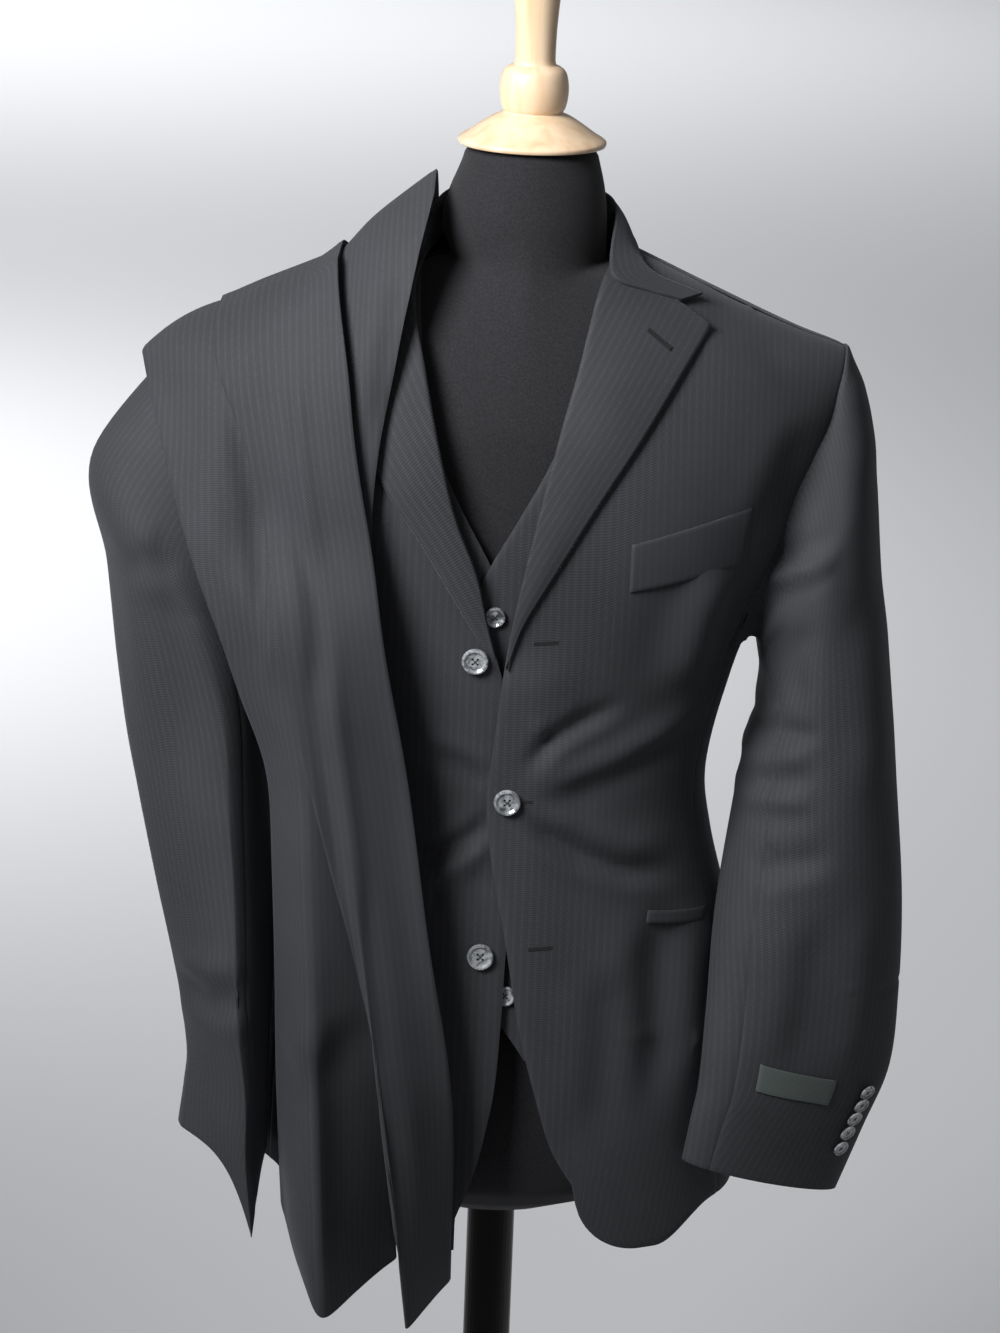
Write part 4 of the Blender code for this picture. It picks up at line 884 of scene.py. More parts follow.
# %% Collar sizes
COLLAR = (
    # way round, the fold's x, y and height, then the same of the leaf's edge
    (0.00, 0.1115, -0.070, 1.4493, 0.1265, -0.055, 1.4510),
    (0.10, 0.0860, -0.065, 1.4567, 0.1100, -0.045, 1.4576),
    (0.18, 0.0610, -0.060, 1.4655, 0.0930, -0.036, 1.4645),
    (0.27, 0.0605, -0.035, 1.4870, 0.0815, -0.026, 1.4730),
    (0.36, 0.0630, 0.000, 1.5030, 0.0760, 0.014, 1.4805),
    (0.43, 0.0520, 0.042, 1.5100, 0.0690, 0.059, 1.4735),
    (0.50, 0.0000, 0.068, 1.5130, 0.0000, 0.091, 1.4740),
    (0.57, -0.0520, 0.042, 1.5100, -0.0690, 0.059, 1.4735),
    (0.64, -0.0680, 0.000, 1.5030, -0.0830, 0.014, 1.4800),
    (0.73, -0.0770, -0.035, 1.4880, -0.0950, -0.026, 1.4725),
    (0.82, -0.0840, -0.060, 1.4655, -0.1080, -0.036, 1.4600),
    (0.90, -0.1050, -0.065, 1.4555, -0.1250, -0.045, 1.4525),
    (1.00, -0.1290, -0.070, 1.4443, -0.1420, -0.055, 1.4450),
)
COLLAR_OFF = LAPEL_OFF - 0.0003      # collar's outside over the front's
STAND_WAY = (0.375, 0.625)           # the stand's ends, as ways round the collar
STAND_RUN = (-0.36, 1.36)            # how far it runs past both ends, as shares of its length
STAND_LOW = -0.18        # and how far its lower edge drops inside, as a share of its height
print("collar's edge round the neck, rows:", len(COLLAR))


# %% Collar
def collar_place(u, v):
    fold = Vector([table(COLLAR, v, column) for column in (1, 2, 3)])
    edge = Vector([table(COLLAR, v, column) for column in (4, 5, 6)])
    point = fold.lerp(edge, u)
    end = ease((0.30 - min(v, 1.0 - v)) / 0.10)
    point.z += 0.004 * math.sin(math.pi * u) * (1.0 - end)
    rest = face(point.x, point.z, COLLAR_OFF)
    point.y = lerp(point.y, rest, end)
    return point


def stand_place(u, v):
    """The collar's stand, from the back neckline seam up to just under the fold."""
    way = lerp(*STAND_WAY, u)
    fold = Vector([table(COLLAR, way, column) for column in (1, 2, 3)])
    fold += Vector((-fold.x * 0.02, -0.0010, -0.0040))
    x = NECK_POINT * 0.95 * (1.0 - 2.0 * u)
    z = ridge(x) - BACK_NECK * (1.0 - (x / NECK_POINT) ** 2)
    seam = Vector((x, face(x, z, back=True), z + 0.0009))
    return seam.lerp(fold, v)


def whole_stand(u, v):
    """The stand goes on under the collar to the front, past both shoulder seams."""
    spot = lerp(*STAND_RUN, u)
    way = lerp(*STAND_WAY, spot)
    low = lerp(STAND_LOW, 1.0, v)
    if 0.0 <= spot <= 1.0:
        return stand_place(spot, low)
    fold = Vector([table(COLLAR, way, column) for column in (1, 2, 3)])
    fold += Vector((0.0, -0.001, -0.004))
    on = min(1.0, max(-spot, spot - 1.0) / 0.12)
    seam = fold + Vector((math.copysign(0.003, fold.x), 0.002, -0.028))
    end = stand_place(min(1.0, max(0.0, spot)), STAND_LOW)
    return end.lerp(seam, ease(on)).lerp(fold, v)


panel("cloth_collar", 18, 170, lambda u, v: collar_place(1.0 - u, v), LAPEL_WALL, (), "collar",
      shape=lambda net: soften(net, 24))
panel("cloth_collar_stand", 90, 8, lambda u, v: whole_stand(1.0 - u, v), CLOTH, (), "collar_stand")
print("collar woven")

# %% [markdown]
# ## Sleeves
# Each sleeve is two pieces sewn into a tube, wider at the top of the arm and bent at the
# elbow. The left one hangs full and round. The right one hangs nearly flat, with a pressed
# fold down its front. Rings placed down the arm would make a plain pipe. Here each ring
# has an outer and an inner point and its own depth in front and behind, so the tube can
# turn and flatten on its way, and the first ring is the armhole itself.

# %% Sleeve sizes
# Way down the arm, outer point, inner point, depth in front and behind, how sharp the
# front fold is, and how far the cuff drops there.
SLEEVE_LEFT = (
    (0.00, 0.247, 0.000, 1.403, 0.180, 0.000, 1.190, 0.070, 0.070, 1.0, 0.0),
    (0.06, 0.258, 0.000, 1.362, 0.184, 0.000, 1.185, 0.082, 0.082, 1.0, 0.0),
    (0.13, 0.266, 0.000, 1.315, 0.187, 0.000, 1.176, 0.088, 0.088, 1.0, 0.0),
    (0.22, 0.274, 0.000, 1.240, 0.188, -0.002, 1.156, 0.088, 0.086, 1.0, 0.0),
    (0.34, 0.285, -0.004, 1.150, 0.182, -0.014, 1.115, 0.082, 0.076, 1.0, 0.0),
    (0.46, 0.294, -0.014, 1.068, 0.171, -0.038, 1.052, 0.070, 0.060, 1.0, 0.0),
    (0.58, 0.301, -0.025, 0.992, 0.161, -0.068, 0.985, 0.055, 0.045, 1.0, 0.0),
    (0.70, 0.303, -0.030, 0.920, 0.157, -0.092, 0.920, 0.042, 0.032, 1.0, 0.0),
    (0.82, 0.300, -0.036, 0.858, 0.153, -0.106, 0.862, 0.033, 0.025, 1.0, 0.0),
    (0.92, 0.282, -0.046, 0.809, 0.148, -0.110, 0.834, 0.028, 0.021, 1.0, 0.0),
    (1.00, 0.264, -0.055, 0.762, 0.143, -0.110, 0.802, 0.025, 0.018, 1.0, 0.0),
)
SLEEVE_RIGHT = (
    (0.00, -0.252, 0.000, 1.390, -0.180, 0.000, 1.190, 0.066, 0.066, 1.0, 0.0),
    (0.06, -0.284, -0.004, 1.362, -0.184, 0.004, 1.185, 0.070, 0.066, 1.0, 0.0),
    (0.13, -0.320, -0.010, 1.302, -0.187, 0.006, 1.176, 0.074, 0.068, 1.0, 0.0),
    (0.22, -0.306, -0.020, 1.226, -0.188, 0.010, 1.156, 0.078, 0.070, 1.1, 0.0),
    (0.34, -0.293, -0.032, 1.140, -0.186, 0.008, 1.115, 0.080, 0.066, 1.3, 0.0),
    (0.46, -0.278, -0.042, 1.060, -0.180, -0.010, 1.052, 0.077, 0.060, 1.4, 0.0),
    (0.58, -0.262, -0.054, 0.988, -0.175, -0.030, 0.985, 0.075, 0.055, 1.5, 0.004),
    (0.70, -0.245, -0.070, 0.920, -0.173, -0.055, 0.925, 0.072, 0.050, 1.5, 0.010),
    (0.82, -0.235, -0.078, 0.862, -0.174, -0.062, 0.868, 0.070, 0.047, 1.5, 0.018),
    (0.92, -0.236, -0.083, 0.834, -0.174, -0.065, 0.826, 0.070, 0.046, 1.6, 0.034),
    (1.00, -0.238, -0.092, 0.806, -0.174, -0.067, 0.785, 0.073, 0.044, 1.8, 0.054),
)
UNDERARM = 150.0         # ring angle, 0 at the outside, where the armhole leaves the front
FRONT_SEAM = {"left": 141.0, "right": 112.0}
BACK_SEAM = -76.0
CUFF_DROP = {1: 2, -1: 4}    # how sharply each cuff's front hangs down at its fold
SLEEVE_CLEAR = 0.0009    # sleeve's first ring lies this far outside the armhole
HEAD = 0.16              # share of the sleeve in which it changes from armhole to ring
HEAD_TUCK = (0.0030, 0.0090)         # its head is turned in to the middle, and inward
print("rings a sleeve:", len(SLEEVE_LEFT))


# %% Sleeve shape
def armhole_ring(turn, side):
    """The sleeve's seam line: front and back armhole, and the top of the side panel."""
    turn = (turn + 180.0) % 360.0 - 180.0
    if abs(turn) <= UNDERARM:
        out, z = armhole(1.0 - abs(turn) / UNDERARM)
        y = face(out, z, back=turn < 0)
        return Vector((side * (out + SLEEVE_CLEAR), y, z + SLEEVE_CLEAR * 0.5))
    share = (180.0 - abs(turn)) / (180.0 - UNDERARM)
    angle = lerp(90.0, SIDE_FRONT if turn > 0 else SIDE_BACK, share)
    point = skin(angle, ARM_LEVEL, SLEEVE_CLEAR)
    return Vector((side * point.x, point.y, ARM_LEVEL + SLEEVE_CLEAR * 0.5))


def sleeve_ring(rows, way, turn, side):
    """Point of the ring at this way down the sleeve, 0 outside, 90 front, 180 inside."""
    outer = Vector([table(rows, way, column) for column in (1, 2, 3)])
    inner = Vector([table(rows, way, column) for column in (4, 5, 6)])
    fore, aft, crease, drop = (table(rows, way, column) for column in (7, 8, 9, 10))
    chord = outer - inner
    front = Vector((chord.y, -chord.x, 0.0)) * side
    front.normalize()
    angle = math.radians(turn)
    crease = crease if math.sin(angle) > 0 else 1.0
    reach = math.copysign(abs(math.sin(angle)) ** crease, math.sin(angle))
    swing = math.copysign(abs(math.cos(angle)) ** crease, math.cos(angle))
    point = (outer + inner) / 2 + chord / 2 * swing
    point += front * (fore if reach > 0 else aft) * reach
    point.z -= drop * max(0.0, reach) ** CUFF_DROP[side]
    return point


def sleeve_place(rows, side, start, end):
    def place(u, v):
        turn = lerp(start, end, u) if side < 0 else lerp(end, start, u)
        way = 1.0 - v
        ring = sleeve_ring(rows, max(0.0, (way - 0.05) / 0.95), turn, side)
        seam = armhole_ring(turn, side)
        return seam.lerp(ring, ease(way / HEAD))

    return place


print("left cuff's front:", [round(c, 3) for c in sleeve_ring(SLEEVE_LEFT, 1.0, 90.0, 1)])

# %% Sleeve folds
SLEEVE_FOLDS = {
    # width, rise, then the points it runs through: distance to +X, height
    "left": (
        (0.0060, 0.0049, (0.180, 1.240), (0.204, 1.252), (0.232, 1.268)),
        (0.0075, -0.0046, (0.178, 1.254), (0.204, 1.268), (0.236, 1.284)),
        (0.0070, 0.0046, (0.202, 1.238), (0.189, 1.200), (0.196, 1.150)),
        (0.0090, -0.0043, (0.214, 1.222), (0.206, 1.190), (0.212, 1.140)),
        (0.0080, 0.0041, (0.172, 1.094), (0.198, 1.106), (0.226, 1.119)),
        (0.0080, -0.0038, (0.176, 1.120), (0.200, 1.130), (0.234, 1.136)),
        (0.0080, 0.0035, (0.168, 1.068), (0.195, 1.078), (0.232, 1.086)),
        (0.0110, -0.0041, (0.180, 1.020), (0.205, 1.034), (0.250, 1.046)),
        (0.0130, 0.0035, (0.236, 1.400), (0.248, 1.362), (0.254, 1.310)),
        (0.0140, -0.0035, (0.226, 1.345), (0.232, 1.290), (0.244, 1.230)),
        (0.0160, 0.0038, (0.262, 1.240), (0.266, 1.160), (0.272, 1.070)),
        (0.0150, -0.0032, (0.236, 1.010), (0.232, 0.940), (0.222, 0.860)),
        (0.0150, 0.0030, (0.270, 1.020), (0.272, 0.930), (0.262, 0.850)),
    ),
    "right": (
        (0.0110, -0.0041, (-0.246, 0.915), (-0.216, 0.914), (-0.186, 0.928)),
        (0.0110, 0.0035, (-0.250, 0.938), (-0.220, 0.940), (-0.188, 0.952)),
        (0.0180, 0.0038, (-0.290, 1.300), (-0.272, 1.200), (-0.256, 1.080)),
        (0.0180, -0.0038, (-0.262, 1.260), (-0.250, 1.160), (-0.238, 1.060)),
        (0.0120, -0.0030, (-0.300, 1.230), (-0.270, 1.244), (-0.244, 1.236)),
    ),
}
print("folds in the sleeves:", sum(map(len, SLEEVE_FOLDS.values())))


# %% Weave the sleeves
def tuck(net):
    """The sleeve's head is turned in under the armhole's edge."""
    middle = net[-1].mean(axis=0)
    inward = unit(middle - net[-1]) * HEAD_TUCK[0]
    inward[:, 0] -= np.sign(middle[0]) * HEAD_TUCK[1]
    net = net.copy()
    net[-1] += inward
    return net


for side, word, rows in ((1, "left", SLEEVE_LEFT), (-1, "right", SLEEVE_RIGHT)):
    front = FRONT_SEAM[word]
    panel("cloth_sleeve_top_" + word, 60, 140, sleeve_place(rows, side, BACK_SEAM, front),
          CLOTH, SLEEVE_FOLDS[word], "sleeve_top_" + word, shape=tuck)
    panel("cloth_sleeve_under_" + word, 34, 140,
          sleeve_place(rows, side, front, 360.0 + BACK_SEAM),
          CLOTH, SLEEVE_FOLDS[word], "sleeve_under_" + word, shape=tuck)
print("sleeves woven")

# %% [markdown]
# ## Waistcoat
# A waistcoat lies close under the jacket, with five buttons and a deep V, and ends in a
# point below the waist. It is laid on the same body as the jacket, 9.4 mm further in, so
# it keeps its distance all round. Its panels are mapped as the jacket's are: a lower half
# up to the armhole, then an upper half whose rows close up on the shoulder line.

# %% Waistcoat sizes
WAISTCOAT_ARM = 1.165    # bottom of its armholes
WAISTCOAT_STRAP = (0.080, 0.166)     # its shoulder seam, from and to this distance out
# Its armhole: height, distance out. Its front edges: height, distance to +X.
WAISTCOAT_ARMHOLE = (
    (1.165, 0.165), (1.20, 0.160), (1.25, 0.152), (1.32, 0.148), (1.38, 0.154), (1.4385, 0.166),
)
WAISTCOAT_LEFT = (
    (0.880, 0.020), (0.93, -0.009), (1.10, -0.018), (1.235, -0.028), (1.259, -0.020),
    (1.291, -0.003), (1.335, 0.020), (1.40, 0.048), (1.480, 0.080),
)
WAISTCOAT_RIGHT = (
    (0.880, -0.012), (0.93, 0.012), (1.10, 0.002), (1.235, -0.008), (1.259, -0.017),
    (1.274, -0.025), (1.309, -0.044), (1.341, -0.058), (1.40, -0.072), (1.480, -0.080),
)
WAISTCOAT_SIDE_HEM = 0.930           # hem at the side seams
WAISTCOAT_POINT = 0.880  # and at the points in front
WAISTCOAT_NECK = 0.034   # how deep its back neckline dips
WAISTCOAT_LAP = 0.0030   # its left front rides this far out where it laps the right
WAISTCOAT_SHARE = 0.5    # part of a panel's rows that lies below the armhole
ARM_TURN = 0.12          # part of the rest in which the side seam turns into the armhole
print("waistcoat's armhole depth:", round(WAISTCOAT_ARMHOLE[-1][0] - WAISTCOAT_ARM, 3), "m")


# %% Waistcoat shape
def waistcoat_edge(z, side):
    return table(WAISTCOAT_LEFT if side > 0 else WAISTCOAT_RIGHT, z, 1)


def waistcoat_arm(rise):
    top = ridge(WAISTCOAT_STRAP[1], -WAISTCOAT_IN)
    z = top - (top - WAISTCOAT_ARM) * (1.0 - rise) ** 2
    return table(WAISTCOAT_ARMHOLE, z, 1), z


def strap_point(x_edge, z_edge, x_side, z_side, u, rise, back):
    """Point of a row that closes up on the shoulder line as the rise reaches one."""
    off = -WAISTCOAT_IN
    x = lerp(x_edge, x_side, u)
    drop = lerp(ridge(x_edge, off) - z_edge, ridge(x_side, off) - z_side, u)
    z = lerp(lerp(z_edge, z_side, u), ridge(x, off) - drop, ease(rise * 2))
    return Vector((x, face(x, z, off, back), z))


def waistcoat_front_place(side):
    def place(u, v):
        if side < 0:
            u = 1.0 - u
        off = -WAISTCOAT_IN
        if v <= WAISTCOAT_SHARE:
            rise = v / WAISTCOAT_SHARE
            edge_z = lerp(WAISTCOAT_POINT, WAISTCOAT_ARM, rise)
            side_z = lerp(WAISTCOAT_SIDE_HEM, WAISTCOAT_ARM, rise)
            edge = waistcoat_edge(edge_z, side)
            angle = lerp(angle_of(edge, edge_z, off), side * (90.0 - SEAM_ANGLE), u)
            z = lerp(edge_z, side_z, ease(u * 1.6) * 0.35 + u * 0.65)
            point = skin(angle, z, off)
        else:
            rise = (v - WAISTCOAT_SHARE) / (1.0 - WAISTCOAT_SHARE)
            top = ridge(WAISTCOAT_STRAP[0], off)
            edge_z = top - (top - WAISTCOAT_ARM) * (1.0 - rise) ** 2
            edge = waistcoat_edge(edge_z, side)
            out, side_z = waistcoat_arm(rise)
            if rise < ARM_TURN:
                half = table(BODY, side_z, 1) + off
                seam = half * math.sin(math.radians(90.0 - SEAM_ANGLE))
                out = lerp(seam, out, rise / ARM_TURN)
            point = strap_point(edge, edge_z, side * out, side_z, u, rise, False)
            point.y = min(point.y, -SEAM)
        if side > 0:
            point.y -= WAISTCOAT_LAP * ease((0.080 - point.x) / 0.03)
        return point

    return place


def waistcoat_back_place(u, v):
    """One back piece from side seam to side seam, cut out round the neck and arms."""
    off = -WAISTCOAT_IN
    across = 2.0 * u - 1.0
    side = -1.0 if across > 0 else 1.0
    if v <= WAISTCOAT_SHARE:
        z = lerp(WAISTCOAT_SIDE_HEM, WAISTCOAT_ARM, v / WAISTCOAT_SHARE)
        return skin(lerp(90.0 + SEAM_ANGLE, 270.0 - SEAM_ANGLE, u), z, off)
    rise = (v - WAISTCOAT_SHARE) / (1.0 - WAISTCOAT_SHARE)
    out, side_z = waistcoat_arm(rise)
    half = table(BODY, side_z, 1) + off
    out = lerp(half, out, ease(rise / ARM_TURN)) if rise < ARM_TURN else out
    neck, neck_u = WAISTCOAT_STRAP[0], 0.4
    if abs(across) < neck_u:
        top = neck * abs(across) / neck_u
    else:
        top = lerp(neck, out, (abs(across) - neck_u) / (1.0 - neck_u))
    x = lerp(out * abs(across), top, ease(rise * 1.4))
    scoop = WAISTCOAT_NECK * (1.0 - min(1.0, x / neck) ** 2)
    drop = lerp(scoop, ridge(x, off) - WAISTCOAT_ARM, (1.0 - rise) ** 2)
    z = ridge(x, off) - drop
    y = max(face(x, z, off, back=True), SEAM)
    return Vector((side * x, y, z))


print("back of the waistcoat's neck:", [round(c, 3) for c in waistcoat_back_place(0.5, 1.0)])

# %% Weave the waistcoat
for side, word in ((1, "left"), (-1, "right")):
    panel("cloth_waistcoat_front_" + word, 36, 84, waistcoat_front_place(side), CLOTH, (),
          "waistcoat_front_" + word, grain=0.0 if side > 0 else 1.0, fixed=True)
panel("cloth_waistcoat_back", 50, 84, waistcoat_back_place, CLOTH, (), "waistcoat_back")
print("waistcoat woven")

# %% [markdown]
# ## Trousers
# Trousers are folded along their creases, leg on leg, and here they hang over the right
# shoulder: both legs in front, the seat and the waistband behind. Each leg is a front
# panel lying on a back panel, so four layers of cloth cross the shoulder. A simulated
# cloth could slide off or settle anywhere. So each layer is mapped over the shoulder and
# down the front at its own distance from the jacket, and asks the layer below it how far
# out it lies.

# %% Trouser sizes
# Line on the shoulder over which the cloth hangs: distance from the middle, height.
FOLD_LINE = (
    (0.060, 1.5420), (0.085, 1.5225), (0.116, 1.4960), (0.139, 1.4700), (0.163, 1.4520),
    (0.203, 1.4290), (0.247, 1.4070), (0.265, 1.3970), (0.290, 1.3760), (0.330, 1.3300),
)
# Height of each hem at the leg's outer edge, its crease and its inner edge.
LEG_HEM = {"under": (0.752, 0.700, 0.722), "upper": (0.706, 0.700, 0.712)}
WAIST_END = 1.175        # height of the waist seam, behind
BAND_X = (-0.262, -0.060)            # the waistband's ends, distance to +X
WAISTBAND = 0.040        # and its height
# Plan of each leg: height, then x and y of its outer edge, its crease and its inner edge.
LEG_UNDER = (
    (0.700, -0.160, -0.095, -0.125, -0.212, -0.069, -0.125),
    (0.758, -0.161, -0.105, -0.128, -0.202, -0.074, -0.135),
    (0.850, -0.165, -0.118, -0.134, -0.186, -0.082, -0.142),
    (0.950, -0.168, -0.120, -0.140, -0.170, -0.092, -0.145),
    (1.050, -0.173, -0.118, -0.147, -0.158, -0.098, -0.140),
    (1.110, -0.177, -0.116, -0.150, -0.150, -0.100, -0.138),
    (1.150, -0.197, -0.114, -0.160, -0.146, -0.102, -0.140),
    (1.184, -0.207, -0.112, -0.162, -0.146, -0.103, -0.142),
    (1.244, -0.232, -0.102, -0.165, -0.146, -0.105, -0.146),
    (1.311, -0.254, -0.080, -0.168, -0.146, -0.105, -0.148),
    (1.362, -0.272, -0.040, -0.170, -0.130, -0.100, -0.140),
    (1.400, -0.284, 0.000, -0.172, 0.000, -0.094, 0.000),
    (1.450, -0.284, 0.000, -0.172, 0.000, -0.086, 0.000),
    (1.520, -0.284, 0.000, -0.172, 0.000, -0.070, 0.000),
)
LEG_UPPER = (
    (0.700, -0.062, -0.150, -0.061, -0.216, -0.029, -0.145),
    (0.792, -0.072, -0.155, -0.073, -0.202, -0.030, -0.148),
    (0.829, -0.078, -0.158, -0.079, -0.196, -0.029, -0.150),
    (0.899, -0.090, -0.160, -0.090, -0.182, -0.037, -0.150),
    (0.957, -0.103, -0.158, -0.099, -0.172, -0.050, -0.148),
    (1.041, -0.126, -0.152, -0.110, -0.163, -0.063, -0.146),
    (1.090, -0.140, -0.148, -0.117, -0.160, -0.070, -0.146),
    (1.147, -0.157, -0.146, -0.126, -0.158, -0.081, -0.147),
    (1.204, -0.168, -0.144, -0.133, -0.157, -0.093, -0.149),
    (1.260, -0.178, -0.140, -0.141, -0.156, -0.101, -0.151),
    (1.310, -0.189, -0.130, -0.150, -0.152, -0.111, -0.151),
    (1.355, -0.204, -0.110, -0.157, -0.146, -0.119, -0.149),
    (1.400, -0.224, 0.000, -0.164, 0.000, -0.125, 0.000),
    (1.475, -0.224, 0.000, -0.170, 0.000, -0.139, 0.000),
    (1.520, -0.224, 0.000, -0.170, 0.000, -0.139, 0.000),
)
# How far each layer's outside lies over the jacket's, on the shoulder.
LAYER = {"under_back": 0.0069, "under_front": 0.0094, "upper_back": 0.0138,
         "upper_front": 0.0163}
LAYER_DOWN, LAYER_OUT = 0.0022, 0.0024   # a layer clears the one below by this, down and out
LEG_ASIDE, LEG_OUT = 0.008, 0.0028       # and the upper leg clears the under leg by this more
FRONT_SHARE = 0.725      # part of a leg panel's length that lies in front
PACE_FRONT, PACE_BACK = 1.7, 1.5         # powers that draw its rows together at the shoulder
print("layers of trouser cloth:", len(LAYER))


# %% Over the shoulder
def fold_line(x, off):
    return max(table(FOLD_LINE, abs(x), 1) + off - LAYER["upper_front"], ridge(x, off))


def over_shoulder(x, z, off, back=False):
    """Depth of cloth laid over the shoulder, and hanging from chest or shoulder blade."""
    spread = 0.15 if back else 0.03
    hang_z = max(z, 1.30 if back else 1.24)
    half = table(BODY, hang_z, 1) + off + spread
    depth = table(BODY, hang_z, 3 if back else 2) + off
    across = max(0.0, 1.0 - abs(x / half) ** PANEL_SHAPE) ** (1 / PANEL_SHAPE)
    laid = depth * across * shoulder_round(fold_line(x, off) - z)
    y = max(laid, abs(trunk(x, z, off, back)))
    return y if back else -y


print("top of the fold:", round(fold_line(-0.06, LAYER["upper_front"]), 3), "m")


# %% Layers of the legs
def leg_x(rows, z, u):
    left, crease, right = (table(rows, z, column) for column in (1, 3, 5))
    return lerp(left, crease, u * 2) if u < 0.5 else lerp(crease, right, u * 2 - 1)


def leg_y(rows, x, z, creased):
    """Depth of a leg's plan line through its edges, by way of the crease or straight."""
    left, left_y, crease, crease_y, right, right_y = (table(rows, z, c) for c in range(1, 7))
    x = min(right, max(left, x))
    if not creased:
        return lerp(left_y, right_y, (x - left) / (right - left))
    if x < crease:
        return lerp(left_y, crease_y, (x - left) / (crease - left))
    return lerp(crease_y, right_y, (x - crease) / max(0.004, right - crease))


def clear_of(name, x, z):
    """Depth that stays clear of a layer, square to it as well where it slopes."""
    return layer_y(name, x, z - LAYER_DOWN) - LAYER_OUT


def layer_y(name, x, z):
    """Depth of one layer's outside: in front of the jacket and of the layers below it."""
    y = over_shoulder(x, z, LAYER[name])
    hangs = ease((1.38 - z) / 0.16 + ease((-0.20 - x) / 0.03))
    if name == "under_back":
        return min(y, leg_y(LEG_UNDER, x, z, False) * hangs)
    if name == "under_front":
        return min(y, leg_y(LEG_UNDER, x, z, True) * hangs, clear_of("under_back", x, z))
    beside = (x - LEG_ASIDE, x, x + LEG_ASIDE)
    under = min(y, *(clear_of("under_front", spot, z) for spot in beside)) - LEG_OUT
    if name == "upper_back":
        return min(under, leg_y(LEG_UPPER, x, z, False) * hangs)
    return min(y, leg_y(LEG_UPPER, x, z, True) * hangs, clear_of("upper_back", x, z))


print("outermost layer at the knee:", round(layer_y("upper_front", -0.11, 1.04), 3), "m")


# %% Leg panels and waistband
def trouser_place(rows, name):
    off = LAYER[name]
    low_left, low_crease, low_right = LEG_HEM[name.split("_")[0]]

    def place(u, v):
        if v <= FRONT_SHARE:
            down = (1.0 - v / FRONT_SHARE) ** PACE_FRONT
            if u < 0.5:
                hem = lerp(low_left, low_crease, u * 2)
            else:
                hem = lerp(low_crease, low_right, u * 2 - 1)
            z = lerp(1.44, hem, down)
            for _ in range(6):
                x = leg_x(rows, z, u)
                z = lerp(fold_line(x, off), hem, down)
            return Vector((x, min(layer_y(name, x, z), 0.0), z))
        down = ((v - FRONT_SHARE) / (1.0 - FRONT_SHARE)) ** PACE_BACK
        top = leg_x(rows, fold_line(leg_x(rows, 1.47, u), off), u)
        for _ in range(4):
            top = leg_x(rows, fold_line(top, off), u)
        x = lerp(top, lerp(*BAND_X, u), down)
        z = lerp(fold_line(x, off), WAIST_END, down)
        return Vector((x, over_shoulder(x, z, off, back=True), z))

    return place


def waistband_place(name):
    off = LAYER[name]

    def place(u, v):
        x = lerp(*BAND_X, u)
        z = WAIST_END - SEAM - WAISTBAND * v
        return Vector((x, over_shoulder(x, WAIST_END, off, back=True), z))

    return place


print("waistband:", round(BAND_X[1] - BAND_X[0], 3), "m by", WAISTBAND, "m")

# %% [markdown]
# ## Trouser folds
# The legs fan out a little as they fall, so long soft folds run down them from the
# shoulder, and a low one runs across the under leg. Both panels of a leg take the same
# folds, because they lie on each other.

# %% Trouser folds
LEG_FOLDS = {
    # width, rise, then the points it runs through: distance to +X, height
    "under": (
        (0.0090, -0.0042, (-0.216, 1.400), (-0.204, 1.352), (-0.190, 1.301), (-0.182, 1.241),
         (-0.176, 1.190)),
        (0.0060, 0.0028, (-0.176, 1.260), (-0.176, 1.215), (-0.175, 1.165)),
        (0.0150, 0.0030, (-0.168, 0.900), (-0.146, 0.900), (-0.120, 0.922), (-0.100, 0.940)),
        (0.0170, -0.0060, (-0.122, 0.980), (-0.116, 0.880), (-0.110, 0.780), (-0.104, 0.690)),
        (0.0130, 0.0037, (-0.152, 0.860), (-0.147, 0.780), (-0.136, 0.710)),
        (0.0100, -0.0037, (-0.084, 1.495), (-0.095, 1.420), (-0.100, 1.340)),
    ),
    "upper": (
        (0.0070, 0.0032, (-0.166, 1.440), (-0.158, 1.354), (-0.146, 1.277), (-0.136, 1.227)),
        (0.0080, 0.0037, (-0.134, 1.215), (-0.125, 1.142), (-0.114, 1.070), (-0.101, 0.960)),
        (0.0100, -0.0032, (-0.196, 1.420), (-0.184, 1.340), (-0.172, 1.270)),
        (0.0090, -0.0030, (-0.150, 1.300), (-0.140, 1.220), (-0.136, 1.160)),
        (0.0090, -0.0030, (-0.104, 1.050), (-0.092, 0.960), (-0.078, 0.860)),
        (0.0090, 0.0025, (-0.070, 0.900), (-0.058, 0.800), (-0.050, 0.740)),
    ),
}
print("folds in the legs:", sum(map(len, LEG_FOLDS.values())))


# %% Weave the trousers
SETTLE = 0.0032          # how far the upper leg's inner edge sinks


def settle(net):
    """Depth of the edge on the wearer's side: it presses down on the leg under it."""
    share = np.linspace(0.0, 1.0, net.shape[1])[None, :]
    return -SETTLE * bell(share / 0.16) * np.clip((net[..., 2] - 1.15) / 0.10, 0.0, 1.0)


for name, rows, word, lift in (("under", LEG_UNDER, "right", None),
                               ("upper", LEG_UPPER, "left", settle)):
    for part in ("back", "front"):
        key = name + "_" + part
        panel("cloth_trouser_%s_%s" % (part, word), 40, 130, trouser_place(rows, key), CLOTH,
              LEG_FOLDS[name], "trouser_%s_%s" % (part, word),
              shape=lambda net: soften(net, 14, 1.40),
              lift=lift)
        panel("cloth_waistband_%s_%s" % (part, word), 36, 4, waistband_place(key), CLOTH,
              (), "waistband_%s_%s" % (part, word))
print("trousers woven")

